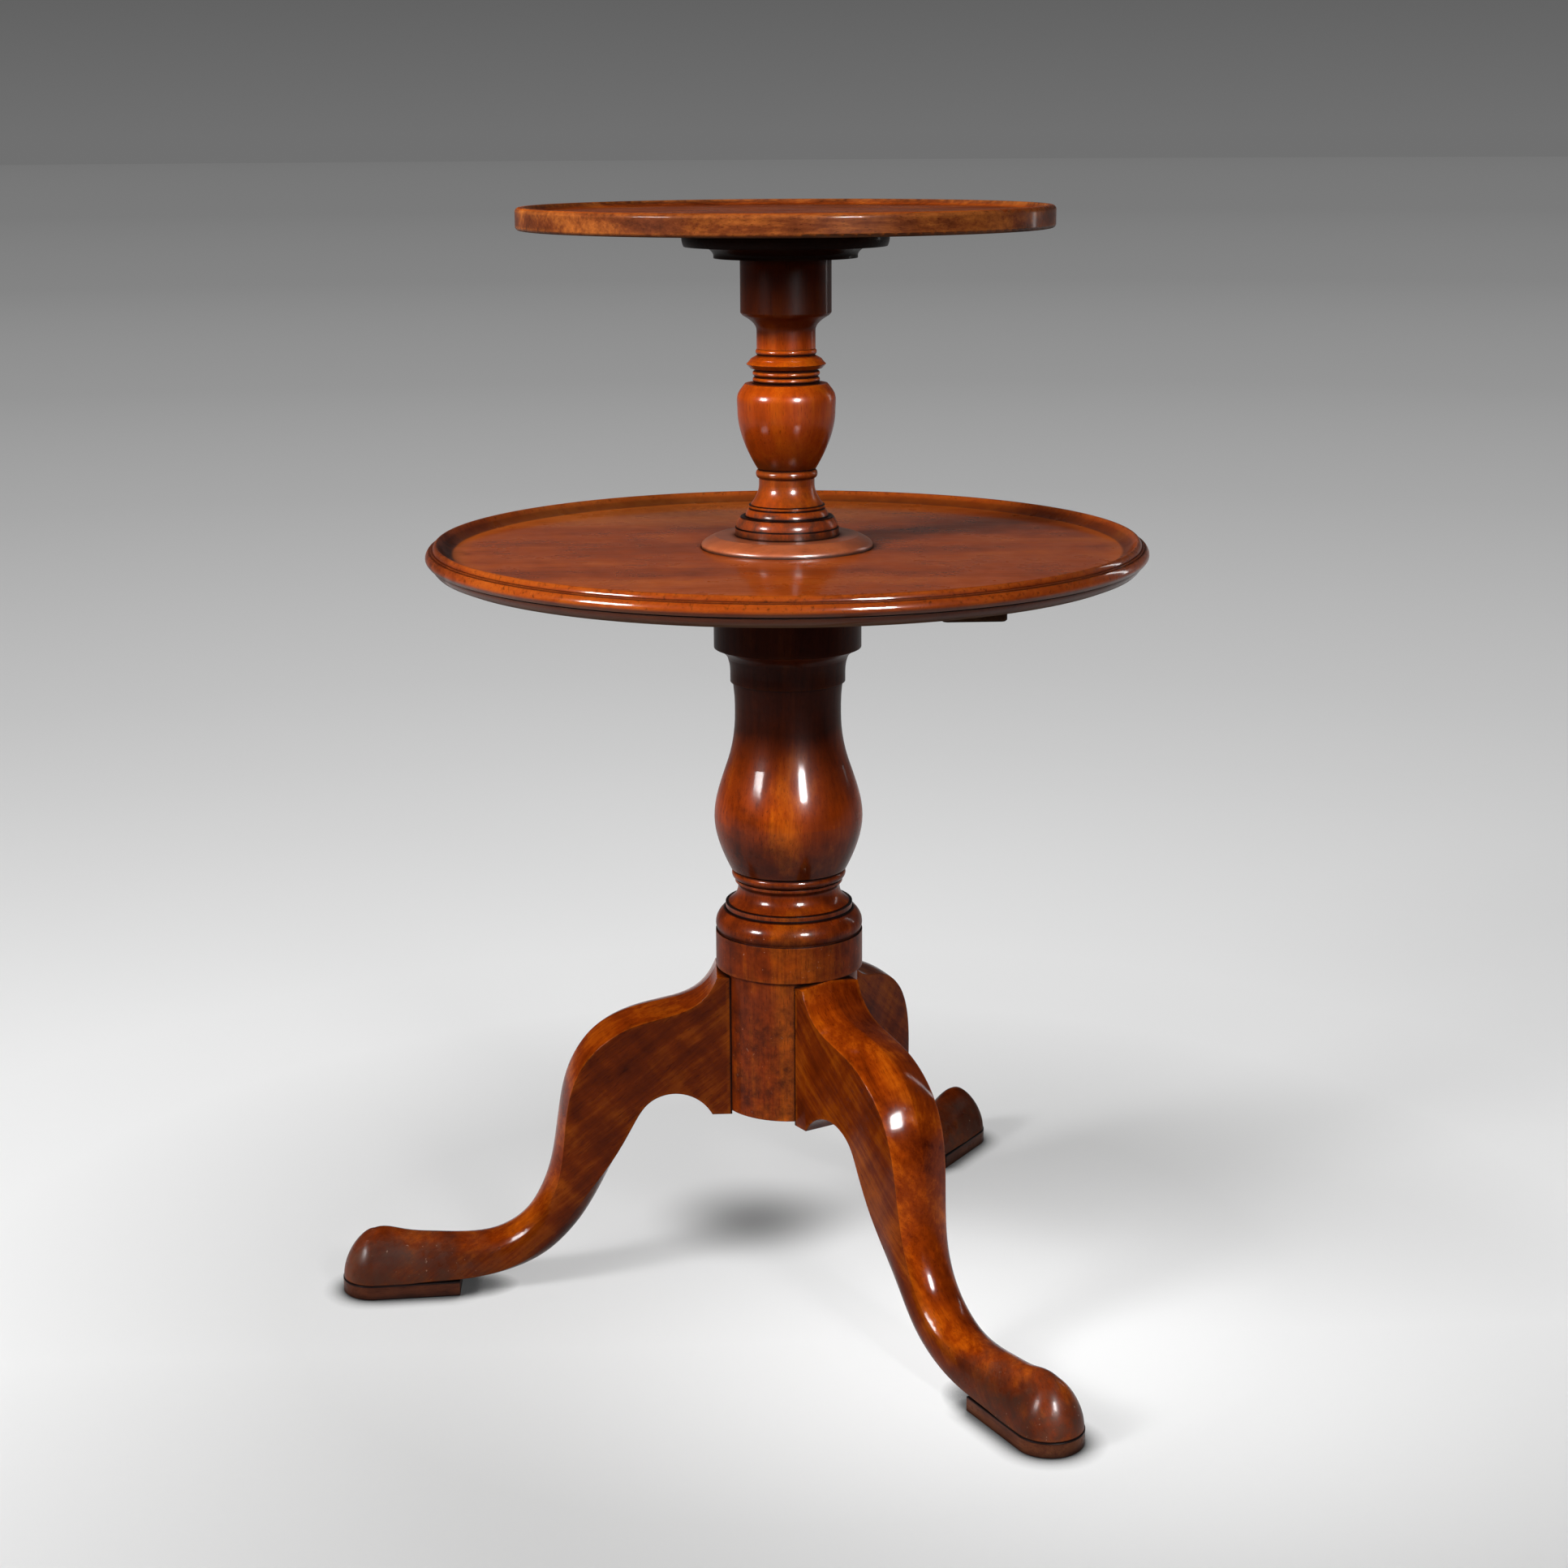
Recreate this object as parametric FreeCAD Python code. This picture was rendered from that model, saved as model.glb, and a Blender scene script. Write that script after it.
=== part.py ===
"""Two-tier mahogany dumb waiter: two dished trays on turned pillars, over three cabriole legs.

Millimetres, +Z up. The origin is on the pillars' common axis at floor level, and the left leg
points along -X.
"""
import FreeCAD
import Part
import math
import os

# ---- Fits ----
GLUE_LINE = 0.1           # gap round a glued joint
RUNNING_CLEARANCE = 0.1   # radial, a tray on its journal
END_FLOAT = 0.4           # lower tray, between the two pillars

# ---- Turned members in general ----
QUIRK = 1.1               # height of the narrow grooves that part two members
QUIRK_DEPTH = 1.3
CHAMFER = 1.0             # soft lower arrises of shoes and batten

# ---- Lower pillar: its foot hangs above the floor, and its members stack upwards ----
# A lean is the slope of the outline at a member's end, radius over height.
PILLAR_CLEARANCE = 154.5
DRUM_RADIUS = 53.5        # the legs are dovetailed into this drum
DRUM_HEIGHT = 113.5
COLLAR_RADIUS = 57.5
COLLAR_HEIGHT = 28.5
TORUS_RADIUS = 57.4
TORUS_FOOT_HEIGHT = 4.6
TORUS_FOOT_LEAN = 0.6
TORUS_SHOULDER_HEIGHT = 12.5
TORUS_TOP_RADIUS = 50.3
TORUS_TOP_LEAN = -1.2
FILLET_RADIUS = 49.6
FILLET_HEIGHT = 4.2
COVE_FOOT_RADIUS = 47.8
COVE_FOOT_LEAN = -1.6
COVE_RADIUS = 39.7
COVE_HEIGHT = 13.0
NECKING_RADIUS = 42.0
NECKING_RISE = 4.0
NECKING_LEAN = 0.8
NECKING_HEIGHT = 2.0
BEAD_RADIUS = 44.5
BEAD_HEIGHT = 7.0
BEAD_PROUD = 1.9
VASE_FOOT_RADIUS = 45.4
VASE_FOOT_LEAN = 0.5
VASE_RADIUS = 57.6
VASE_BELLY_HEIGHT = 41.0
VASE_SHOULDER_RADIUS = 46.7
VASE_SHOULDER_HEIGHT = 44.0
VASE_SHOULDER_LEAN = -0.33
VASE_NECK_RADIUS = 40.9
VASE_NECK_HEIGHT = 38.0
VASE_THROAT_HEIGHT = 6.0
VASE_MOUTH_RADIUS = 42.3
VASE_MOUTH_HEIGHT = 18.5
VASE_MOUTH_LEAN = 0.12
RING_RADIUS = 44.2
RING_HEIGHT = 7.5
BELL_THROAT_RADIUS = 46.0
BELL_THROAT_HEIGHT = 11.0
BELL_THROAT_LEAN = 0.35
BELL_LIP_RADIUS = 55.6
BELL_LIP_HEIGHT = 8.2
BELL_LIP_LEAN = 2.2
HEAD_RADIUS = 56.5
HEAD_HEIGHT = 61.8
JOURNAL_RADIUS = 20.0     # the lower tray turns on it
DOWEL_RADIUS = 12.0       # carries the upper pillar
DOWEL_LENGTH = 45.0

# ---- Upper pillar ----
PLINTH_RADIUS = 39.3
PLINTH_HEIGHT = 5.6
PLINTH_CAP_RADIUS = 38.4
PLINTH_CAP_HEIGHT = 8.4
PLINTH_TOP_RADIUS = 35.0
PLINTH_TOP_LEAN = -0.9
SMALL_TORUS_RADIUS = 31.4
SMALL_TORUS_HEIGHT = 6.2
SMALL_TORUS_TOP_RADIUS = 28.4
SMALL_TORUS_TOP_LEAN = -1.0
SMALL_FILLET_RADIUS = 28.8
SMALL_FILLET_HEIGHT = 2.5
SMALL_COVE_FOOT_RADIUS = 27.6
SMALL_COVE_FOOT_LEAN = -0.75
SMALL_COVE_RADIUS = 21.0
SMALL_COVE_HEIGHT = 15.0
SMALL_COVE_NECK = 5.4
SMALL_BEAD_RADIUS = 23.3
SMALL_BEAD_HEIGHT = 6.0
SMALL_BEAD_PROUD = 1.4
URN_FOOT_RADIUS = 22.3
URN_FOOT_LEAN = 0.6
URN_RADIUS = 36.8
URN_BELLY_HEIGHT = 44.0
URN_SHOULDER_RADIUS = 36.2
URN_SHOULDER_HEIGHT = 11.8
URN_SHOULDER_LEAN = -0.4
URN_TOP_RADIUS = 31.0
URN_TOP_HEIGHT = 7.4
URN_TOP_LEAN = -0.8
ASTRAGALS = 2
ASTRAGAL_RADIUS = 25.2
ASTRAGAL_HEIGHT = 3.6
ASTRAGAL_PROUD = 0.9
KNIFE_ROOT_RADIUS = 23.4
KNIFE_ROOT_HEIGHT = 1.8
KNIFE_FLANK_RADIUS = 26.9
KNIFE_RADIUS = 29.8       # the disc turned to a sharp edge
KNIFE_FACE_HEIGHT = 3.2
KNIFE_TOP_RADIUS = 21.5
KNIFE_TOP_HEIGHT = 3.6
KNIFE_TOP_LEAN = -0.8
COLLARINO_RADIUS = 22.9
COLLARINO_HEIGHT = 4.6
COLLARINO_PROUD = 1.5
UPPER_NECK_RADIUS = 22.0
UPPER_NECK_HEIGHT = 13.2
FLARE_RADIUS = 32.3
FLARE_HEIGHT = 11.2
FLARE_LEAN = 1.9
UPPER_HEAD_RADIUS = 34.0
UPPER_HEAD_BEVEL = 2.0
UPPER_HEAD_HEIGHT = 39.8
SPIGOT_RADIUS = 14.0      # the top tray turns on it
SPIGOT_HEIGHT = 20.0

# ---- Lower tray: its mouldings are inset from the nose and stack upwards ----
TRAY_RADIUS = 272.5
TRAY_THICKNESS = 15.0     # from its underside to the dished surface
TRAY_RIM_HEIGHT = 7.5     # of the rim's crest, above the dished surface
TRAY_RIM_WIDTH = 21.0
TRAY_UNDERCUT = 13.5
TRAY_BEVEL_INSET = 8.0
TRAY_BEVEL_HEIGHT = 2.2
TRAY_SKIRT_INSET = 4.6    # of the band below the nose, where it meets the nose
TRAY_SKIRT_RISE = 5.6
TRAY_SKIRT_LEAN = 1.2
TRAY_NOSE_FOOT_INSET = 2.0
TRAY_NOSE_RISE = 3.4
TRAY_NOSE_LEAN = 0.9
TRAY_NOSE_TOP_INSET = 2.2
TRAY_NOSE_TOP_HEIGHT = 5.2
TRAY_NOSE_TOP_LEAN = -0.9
TRAY_FILLET_INSET = 3.7
TRAY_FILLET_RISE = 1.0
TRAY_RIDGE_INSET = 5.6
TRAY_RIDGE_RISE = 0.9
TRAY_CREST_INSET = 7.8
TRAY_WALL_INSET = 9.9
TRAY_WALL_DROP = 0.9      # from the crest to the start of the inner wall
TRAY_WALL_SAG = 1.3

# ---- Boss on the lower tray, round the foot of the upper pillar ----
BOSS_RADIUS = 65.0
BOSS_HEIGHT = 9.1
BOSS_EDGE_HEIGHT = 1.6
BOSS_ROUNDING = 10.5      # of its upper edge, along the radius
BOSS_ROUNDING_LEAN = -2.6
BOSS_HOUSING = 1.0        # depth that the boss is let into the tray

# ---- Batten under the lower tray, across its grain ----
BATTEN_INNER_EDGE = 97.0
BATTEN_WIDTH = 46.0
BATTEN_LENGTH = 388.0
BATTEN_THICKNESS = 10.0
BATTEN_CORNER = 5.0

# ---- Flange under the top tray ----
FLANGE_FOOT_RADIUS = 53.5
FLANGE_FOOT_HEIGHT = 1.8
FLANGE_OGEE_RADIUS = 60.3
FLANGE_OGEE_HEIGHT = 6.7
FLANGE_OGEE_LEAN = 2.0
FLANGE_RADIUS = 77.0
FLANGE_THICKNESS = 13.1
FLANGE_EDGE_ROUND = 1.5

# ---- Top tray ----
TOP_RADIUS = 198.5
TOP_THICKNESS = 12.2      # from its underside to the dished surface
TOP_EDGE_ROUND = 2.6      # lower corner of the edge
TOP_LIP_HEIGHT = 4.0      # above the dished surface
TOP_LIP_ROUND = 3.2       # upper corner of the edge
TOP_LIP_WIDTH = 6.5
TOP_COVE_WIDTH = 4.5
TOP_COVE_SAG = 1.0

# ---- Wood screws ----
SCREW_RADIUS = 2.2
SCREW_HEAD_RADIUS = 4.2
SCREW_HEAD_DEPTH = 2.4
SCREW_SLOT_WIDTH = 0.9
SCREW_SLOT_DEPTH = 1.0
SCREW_BITE = 7.5          # length of a screw in the second piece
BATTEN_SCREWS = 4
BATTEN_SCREW_MARGIN = 30.0
BOSS_SCREWS = 4
BOSS_SCREW_CIRCLE = 42.0
FLANGE_SCREWS = 4
FLANGE_SCREW_CIRCLE = 69.0

# ---- Legs ----
LEG_AZIMUTHS = {"left": 180.0, "front": 300.0, "rear": 60.0}
LEG_HALF_WIDTH = 26.0
CALF_BACK_HALF_WIDTH = 22.0
ANKLE_HALF_WIDTH = 22.0
HIP_CROWN = 4.0           # fall of the top from its ridge to its arrises
BROW_CROWN = 10.0
ANKLE_CROWN = 4.0
RIDGE_SHARE = 0.14        # of the crown, fallen at a third of the way to an arris
SLOPE_SHARE = 0.5         # and at two thirds
TONGUE_DEPTH = 20.0       # dovetail, into the drum
TONGUE_NECK = 18.0
TONGUE_WIDTH = 26.0
TONGUE_HEIGHT = 92.0

# Side view of a leg. Its ridge starts at the collar's lower corner and passes the knee and the
# ankle to the crown of the toe. Its underside starts near the drum's foot and passes the arch
# and the back of the ankle to the flat sole. A point between two of these is given as shares of
# the way to the next one: the share outwards, then the share down.
KNEE_REACH = 173.5
KNEE_DROP = 76.5          # below the collar
ANKLE_REACH = 202.5
ANKLE_RISE = 67.0         # above the shoe
CREST_HOLLOW = (0.177, 0.295)
CREST_THIGH = (0.453, 0.402)
CREST_BROW = (0.815, 0.630)
CREST_SHIN = (0.448, 0.496)
CREST_INSTEP = (0.178, 0.93)
CREST_WAIST = (0.458, 1.21)
CUSP_GAP = 9.0            # outwards from the drum, as for the arch
CUSP_DROP = 3.0           # below the drum's foot
ARCH_CROWN_GAP = 38.5
ARCH_CROWN_RISE = 14.0
ARCH_END_GAP = 64.5
ARCH_END_DROP = 0.5
ANKLE_DEPTH = 31.0        # from the ridge at the ankle in to its back, level
ANKLE_BACK_DROP = 24.5
BACK_OF_CALF = (0.45, 0.473)
BACK_OF_HEEL = (0.242, 0.52)
UNDER_HEEL = (0.747, 0.96)
SOLE_LENGTH = 72.5        # of the flat, behind the axis of the toe
THIGH_SECTIONS = 6
CALF_SECTIONS = 7
FOOT_SECTIONS = 6

# ---- Pad feet and their shoes ----
PAD_REACH = 334.5         # to the upright axis of the round toe
PAD_RADIUS = 25.5
PAD_HEIGHT = 39.3
PAD_CROWN_HANDLE = 9.0    # the dome's outline is level for this far at its crown
PAD_SIDE_HANDLE = 20.0    # and upright for this far at the sole
SHOE_THICKNESS = 12.0
SHOE_MARGIN = 0.6         # of the shoe round the toe
SHOE_LENGTH = 68.5        # from its heel to the axis of the toe
SHOE_HEEL_HALF_WIDTH = 21.0

# ---- Places that follow ----
COLLAR_UNDERSIDE = PILLAR_CLEARANCE + DRUM_HEIGHT
JOURNAL_LENGTH = TRAY_THICKNESS + BOSS_HEIGHT + END_FLOAT
AXIS = FreeCAD.Vector(0, 0, 1)
ORIGIN = FreeCAD.Vector(0, 0, 0)
SAME_POINT = 1e-6


def at(reach, height, across=0.0):
    return FreeCAD.Vector(reach, across, height)


def turned_about(shape, angle):
    copy = shape.copy()
    copy.rotate(ORIGIN, AXIS, angle)
    return copy


class Turning:
    """Half outline of a turned piece, drawn member by member from its foot to its top."""

    def __init__(self, height, radius=0.0):
        self.start = at(radius, height)
        self.end = self.start
        self.edges = []

    def draw(self, curve, end):
        self.edges.append(curve.toShape())
        self.end = end
        return self

    def line(self, radius, rise):
        end = at(radius, self.end.z + rise)
        if end.isEqual(self.end, SAME_POINT):
            return self
        return self.draw(Part.LineSegment(self.end, end), end)

    def shoulder(self, radius):
        return self.line(radius, 0.0)

    def band(self, rise):
        return self.line(self.end.x, rise)

    def arc(self, middle_radius, middle_rise, radius, rise):
        middle = at(middle_radius, self.end.z + middle_rise)
        end = at(radius, self.end.z + rise)
        return self.draw(Part.Arc(self.end, middle, end), end)

    def bead(self, rise, proud):
        return self.arc(self.end.x + proud, rise / 2, self.end.x, rise)

    def hollow(self, radius, rise, sag):
        """Arc to a point, sagging below the straight line to it."""
        return self.arc((self.end.x + radius) / 2, rise / 2 - sag, radius, rise)

    def sweep(self, radius, rise, lean_from, lean_to):
        """Smooth curve to a radius, with the outline's lean at both of its ends."""
        third = rise / 3
        end = at(radius, self.end.z + rise)
        first = self.end + at(lean_from * third, third)
        second = end - at(lean_to * third, third)
        curve = Part.BezierCurve()
        curve.setPoles([self.end, first, second, end])
        return self.draw(curve, end)

    def solid(self):
        closing = Part.LineSegment(self.end, self.start).toShape()
        face = Part.Face(Part.Wire(self.edges + [closing]))
        return face.revolve(ORIGIN, AXIS, 360)


# ---- Pillars ----

def lower_pillar():
    column = Turning(PILLAR_CLEARANCE)
    column.shoulder(DRUM_RADIUS).band(DRUM_HEIGHT)
    column.shoulder(COLLAR_RADIUS).band(COLLAR_HEIGHT)
    column.shoulder(COLLAR_RADIUS - QUIRK_DEPTH).band(QUIRK)
    column.sweep(TORUS_RADIUS, TORUS_FOOT_HEIGHT, TORUS_FOOT_LEAN, 0)
    column.sweep(TORUS_TOP_RADIUS, TORUS_SHOULDER_HEIGHT, 0, TORUS_TOP_LEAN)
    column.shoulder(FILLET_RADIUS).band(FILLET_HEIGHT).shoulder(COVE_FOOT_RADIUS)
    column.sweep(COVE_RADIUS, COVE_HEIGHT, COVE_FOOT_LEAN, 0)
    column.sweep(NECKING_RADIUS, NECKING_RISE, 0, NECKING_LEAN).band(NECKING_HEIGHT)
    column.shoulder(NECKING_RADIUS - QUIRK_DEPTH).band(QUIRK)
    column.shoulder(BEAD_RADIUS - BEAD_PROUD).bead(BEAD_HEIGHT, BEAD_PROUD)
    column.shoulder(BEAD_RADIUS - BEAD_PROUD - QUIRK_DEPTH).band(QUIRK)
    column.shoulder(VASE_FOOT_RADIUS)
    column.sweep(VASE_RADIUS, VASE_BELLY_HEIGHT, VASE_FOOT_LEAN, 0)
    column.sweep(VASE_SHOULDER_RADIUS, VASE_SHOULDER_HEIGHT, 0, VASE_SHOULDER_LEAN)
    column.sweep(VASE_NECK_RADIUS, VASE_NECK_HEIGHT, VASE_SHOULDER_LEAN, 0)
    column.band(VASE_THROAT_HEIGHT)
    column.sweep(VASE_MOUTH_RADIUS, VASE_MOUTH_HEIGHT, 0, VASE_MOUTH_LEAN)
    column.shoulder(RING_RADIUS).band(RING_HEIGHT)
    column.sweep(BELL_THROAT_RADIUS, BELL_THROAT_HEIGHT, 0, BELL_THROAT_LEAN)
    column.sweep(BELL_LIP_RADIUS, BELL_LIP_HEIGHT, BELL_THROAT_LEAN, BELL_LIP_LEAN)
    column.shoulder(HEAD_RADIUS).band(HEAD_HEIGHT)
    seat = column.end.z
    column.shoulder(JOURNAL_RADIUS).band(JOURNAL_LENGTH)
    column.shoulder(DOWEL_RADIUS).band(DOWEL_LENGTH).shoulder(0)
    pillar = column.solid()
    for azimuth in LEG_AZIMUTHS.values():
        pillar = pillar.cut(turned_about(tongue(GLUE_LINE), azimuth))
    return pillar, seat


def upper_pillar(foot):
    column = Turning(foot)
    column.shoulder(PLINTH_RADIUS).band(PLINTH_HEIGHT).shoulder(PLINTH_CAP_RADIUS)
    column.sweep(PLINTH_TOP_RADIUS, PLINTH_CAP_HEIGHT, 0, PLINTH_TOP_LEAN)
    column.shoulder(SMALL_TORUS_RADIUS)
    column.sweep(SMALL_TORUS_TOP_RADIUS, SMALL_TORUS_HEIGHT, 0, SMALL_TORUS_TOP_LEAN)
    column.shoulder(SMALL_FILLET_RADIUS).band(SMALL_FILLET_HEIGHT)
    column.shoulder(SMALL_COVE_FOOT_RADIUS)
    column.sweep(SMALL_COVE_RADIUS, SMALL_COVE_HEIGHT, SMALL_COVE_FOOT_LEAN, 0)
    column.band(SMALL_COVE_NECK)
    column.shoulder(SMALL_BEAD_RADIUS - SMALL_BEAD_PROUD)
    column.bead(SMALL_BEAD_HEIGHT, SMALL_BEAD_PROUD)
    column.shoulder(URN_FOOT_RADIUS - QUIRK_DEPTH).band(QUIRK).shoulder(URN_FOOT_RADIUS)
    column.sweep(URN_RADIUS, URN_BELLY_HEIGHT, URN_FOOT_LEAN, 0)
    column.sweep(URN_SHOULDER_RADIUS, URN_SHOULDER_HEIGHT, 0, URN_SHOULDER_LEAN)
    column.sweep(URN_TOP_RADIUS, URN_TOP_HEIGHT, URN_SHOULDER_LEAN, URN_TOP_LEAN)
    for _ in range(ASTRAGALS):
        column.shoulder(ASTRAGAL_RADIUS - ASTRAGAL_PROUD - QUIRK_DEPTH).band(QUIRK)
        column.shoulder(ASTRAGAL_RADIUS - ASTRAGAL_PROUD).bead(ASTRAGAL_HEIGHT, ASTRAGAL_PROUD)
    column.shoulder(KNIFE_ROOT_RADIUS).band(KNIFE_ROOT_HEIGHT).shoulder(KNIFE_FLANK_RADIUS)
    column.line(KNIFE_RADIUS, KNIFE_FACE_HEIGHT).line(KNIFE_FLANK_RADIUS, KNIFE_FACE_HEIGHT)
    column.sweep(KNIFE_TOP_RADIUS, KNIFE_TOP_HEIGHT, 0, KNIFE_TOP_LEAN)
    column.shoulder(COLLARINO_RADIUS - COLLARINO_PROUD).bead(COLLARINO_HEIGHT, COLLARINO_PROUD)
    column.shoulder(UPPER_NECK_RADIUS).band(UPPER_NECK_HEIGHT)
    column.sweep(FLARE_RADIUS, FLARE_HEIGHT, 0, FLARE_LEAN)
    column.line(UPPER_HEAD_RADIUS, UPPER_HEAD_BEVEL).band(UPPER_HEAD_HEIGHT)
    seat = column.end.z
    column.shoulder(SPIGOT_RADIUS).band(SPIGOT_HEIGHT).shoulder(0)
    socket = Part.makeCylinder(DOWEL_RADIUS + GLUE_LINE, DOWEL_LENGTH + GLUE_LINE, at(0, foot))
    return column.solid().cut(socket), seat


# ---- Trays and the discs that carry them ----

def lower_tray(underside):
    """Board dished from the solid, with the moulded rim turned round its edge."""
    bore = JOURNAL_RADIUS + RUNNING_CLEARANCE
    surface = underside + TRAY_THICKNESS
    board = Turning(underside, bore)
    board.shoulder(TRAY_RADIUS - TRAY_UNDERCUT)
    board.line(TRAY_RADIUS - TRAY_BEVEL_INSET, TRAY_BEVEL_HEIGHT)
    board.sweep(TRAY_RADIUS - TRAY_SKIRT_INSET, TRAY_SKIRT_RISE, TRAY_SKIRT_LEAN, 0)
    board.shoulder(board.end.x - QUIRK_DEPTH).band(QUIRK)
    board.shoulder(TRAY_RADIUS - TRAY_NOSE_FOOT_INSET)
    board.sweep(TRAY_RADIUS, TRAY_NOSE_RISE, TRAY_NOSE_LEAN, 0)
    board.sweep(TRAY_RADIUS - TRAY_NOSE_TOP_INSET, TRAY_NOSE_TOP_HEIGHT, 0, TRAY_NOSE_TOP_LEAN)
    board.shoulder(TRAY_RADIUS - TRAY_FILLET_INSET).band(TRAY_FILLET_RISE)
    board.shoulder(TRAY_RADIUS - TRAY_RIDGE_INSET).band(TRAY_RIDGE_RISE)
    climb = surface + TRAY_RIM_HEIGHT - board.end.z
    board.arc(TRAY_RADIUS - TRAY_CREST_INSET, climb,
              TRAY_RADIUS - TRAY_WALL_INSET, climb - TRAY_WALL_DROP)
    board.hollow(TRAY_RADIUS - TRAY_RIM_WIDTH, surface - board.end.z, TRAY_WALL_SAG)
    board.shoulder(BOSS_RADIUS + GLUE_LINE).band(-BOSS_HOUSING)
    return board.shoulder(bore).solid()


def pillar_boss(underside):
    bore = JOURNAL_RADIUS + RUNNING_CLEARANCE
    disc = Turning(underside, bore).shoulder(BOSS_RADIUS).band(BOSS_HOUSING + BOSS_EDGE_HEIGHT)
    disc.sweep(BOSS_RADIUS - BOSS_ROUNDING, BOSS_HEIGHT - BOSS_EDGE_HEIGHT, 0, BOSS_ROUNDING_LEAN)
    return disc.shoulder(bore).solid()


def tray_batten(tray_underside):
    bar = Part.makeBox(BATTEN_WIDTH, BATTEN_LENGTH, BATTEN_THICKNESS)
    bar.translate(at(BATTEN_INNER_EDGE, tray_underside - BATTEN_THICKNESS, -BATTEN_LENGTH / 2))
    upright = [edge for edge in bar.Edges if edge.BoundBox.ZLength > BATTEN_THICKNESS / 2]
    bar = bar.makeFillet(BATTEN_CORNER, upright)
    return chamfered_below(bar)


def chamfered_below(solid):
    """The solid with the arrises round its flat underside taken off."""
    height = solid.BoundBox.ZMin + CHAMFER / 2
    return solid.makeChamfer(CHAMFER, [e for e in solid.Edges if e.BoundBox.ZMax < height])


def top_flange(underside):
    bore = SPIGOT_RADIUS + RUNNING_CLEARANCE
    disc = Turning(underside, bore)
    disc.shoulder(FLANGE_FOOT_RADIUS).band(FLANGE_FOOT_HEIGHT)
    disc.sweep(FLANGE_OGEE_RADIUS, FLANGE_OGEE_HEIGHT, 0, FLANGE_OGEE_LEAN)
    plate = disc.end.z
    disc.shoulder(FLANGE_RADIUS - FLANGE_EDGE_ROUND)
    disc.bead(FLANGE_THICKNESS, FLANGE_EDGE_ROUND).shoulder(bore)
    return disc.solid(), plate, disc.end.z


def top_tray(underside):
    """Board dished from the solid, its edge left square but for soft corners."""
    board = Turning(underside)
    board.shoulder(TOP_RADIUS - TOP_EDGE_ROUND)
    board.arc(*quarter(TOP_RADIUS - TOP_EDGE_ROUND, TOP_EDGE_ROUND, 0))
    board.band(TOP_THICKNESS + TOP_LIP_HEIGHT - TOP_EDGE_ROUND - TOP_LIP_ROUND)
    board.arc(*quarter(TOP_RADIUS - TOP_LIP_ROUND, TOP_LIP_ROUND, 1))
    board.shoulder(TOP_RADIUS - TOP_LIP_WIDTH)
    board.hollow(board.end.x - TOP_COVE_WIDTH, -TOP_LIP_HEIGHT, TOP_COVE_SAG)
    return board.shoulder(0).solid()


def quarter(centre_radius, size, upper):
    """Middle and end of a quarter round, as Turning.arc takes them: a lower or an upper one."""
    near = size * math.sqrt(0.5)
    if upper:
        return centre_radius + near, near, centre_radius, size
    return centre_radius + near, size - near, centre_radius + size, size


# ---- Wood screws ----

def screw_blank(place, length):
    """Countersunk screw pointing up, with its head flush at the given place."""
    blank = Turning(0).shoulder(SCREW_HEAD_RADIUS).line(SCREW_RADIUS, SCREW_HEAD_DEPTH)
    blank.band(length - SCREW_HEAD_DEPTH - SCREW_RADIUS).line(0, SCREW_RADIUS)
    solid = blank.solid()
    solid.translate(place)
    return solid


def screw_ring(count, circle, height, length):
    first = screw_blank(at(circle, height), length)
    return [turned_about(first, (i + 0.5) * 360 / count) for i in range(count)]


def screw_row(count, reach, height, span, length):
    pitch = span / (count - 1)
    return [screw_blank(at(reach, height, i * pitch - span / 2), length) for i in range(count)]


def slotted(screw):
    box = screw.BoundBox
    slot = Part.makeBox(box.XLength, SCREW_SLOT_WIDTH, SCREW_SLOT_DEPTH)
    slot.translate(at(box.XMin, box.ZMin, box.Center.y - SCREW_SLOT_WIDTH / 2))
    return screw.cut(slot)


# ---- Legs ----

def tongue(margin=0.0):
    """Dovetail on the hip of a leg, wider inside the drum, that slides up from its foot."""
    inside = DRUM_RADIUS - TONGUE_DEPTH - margin
    wide = TONGUE_WIDTH / 2 + margin
    narrow = TONGUE_NECK / 2 + margin
    plan = [(inside, -wide), (DRUM_RADIUS, -narrow), (COLLAR_RADIUS, -narrow),
            (COLLAR_RADIUS, narrow), (DRUM_RADIUS, narrow), (inside, wide), (inside, -wide)]
    outline = Part.makePolygon([at(x, PILLAR_CLEARANCE, y) for x, y in plan])
    return Part.Face(outline).extrude(AXIS * TONGUE_HEIGHT)


def even_points(shape, count):
    return shape.discretize(Number=count + 1)


def mix(first, second, share):
    return first + (second - first) * share


def mixed(first, second, share):
    return [(mix(a, c, share), mix(b, d, share)) for (a, b), (c, d) in zip(first, second)]


def between(start, end, *shares):
    """Points on the way from one landmark of a leg's side view to the next."""
    return [at(mix(start.x, end.x, out), mix(start.z, end.z, down)) for out, down in shares]


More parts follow.
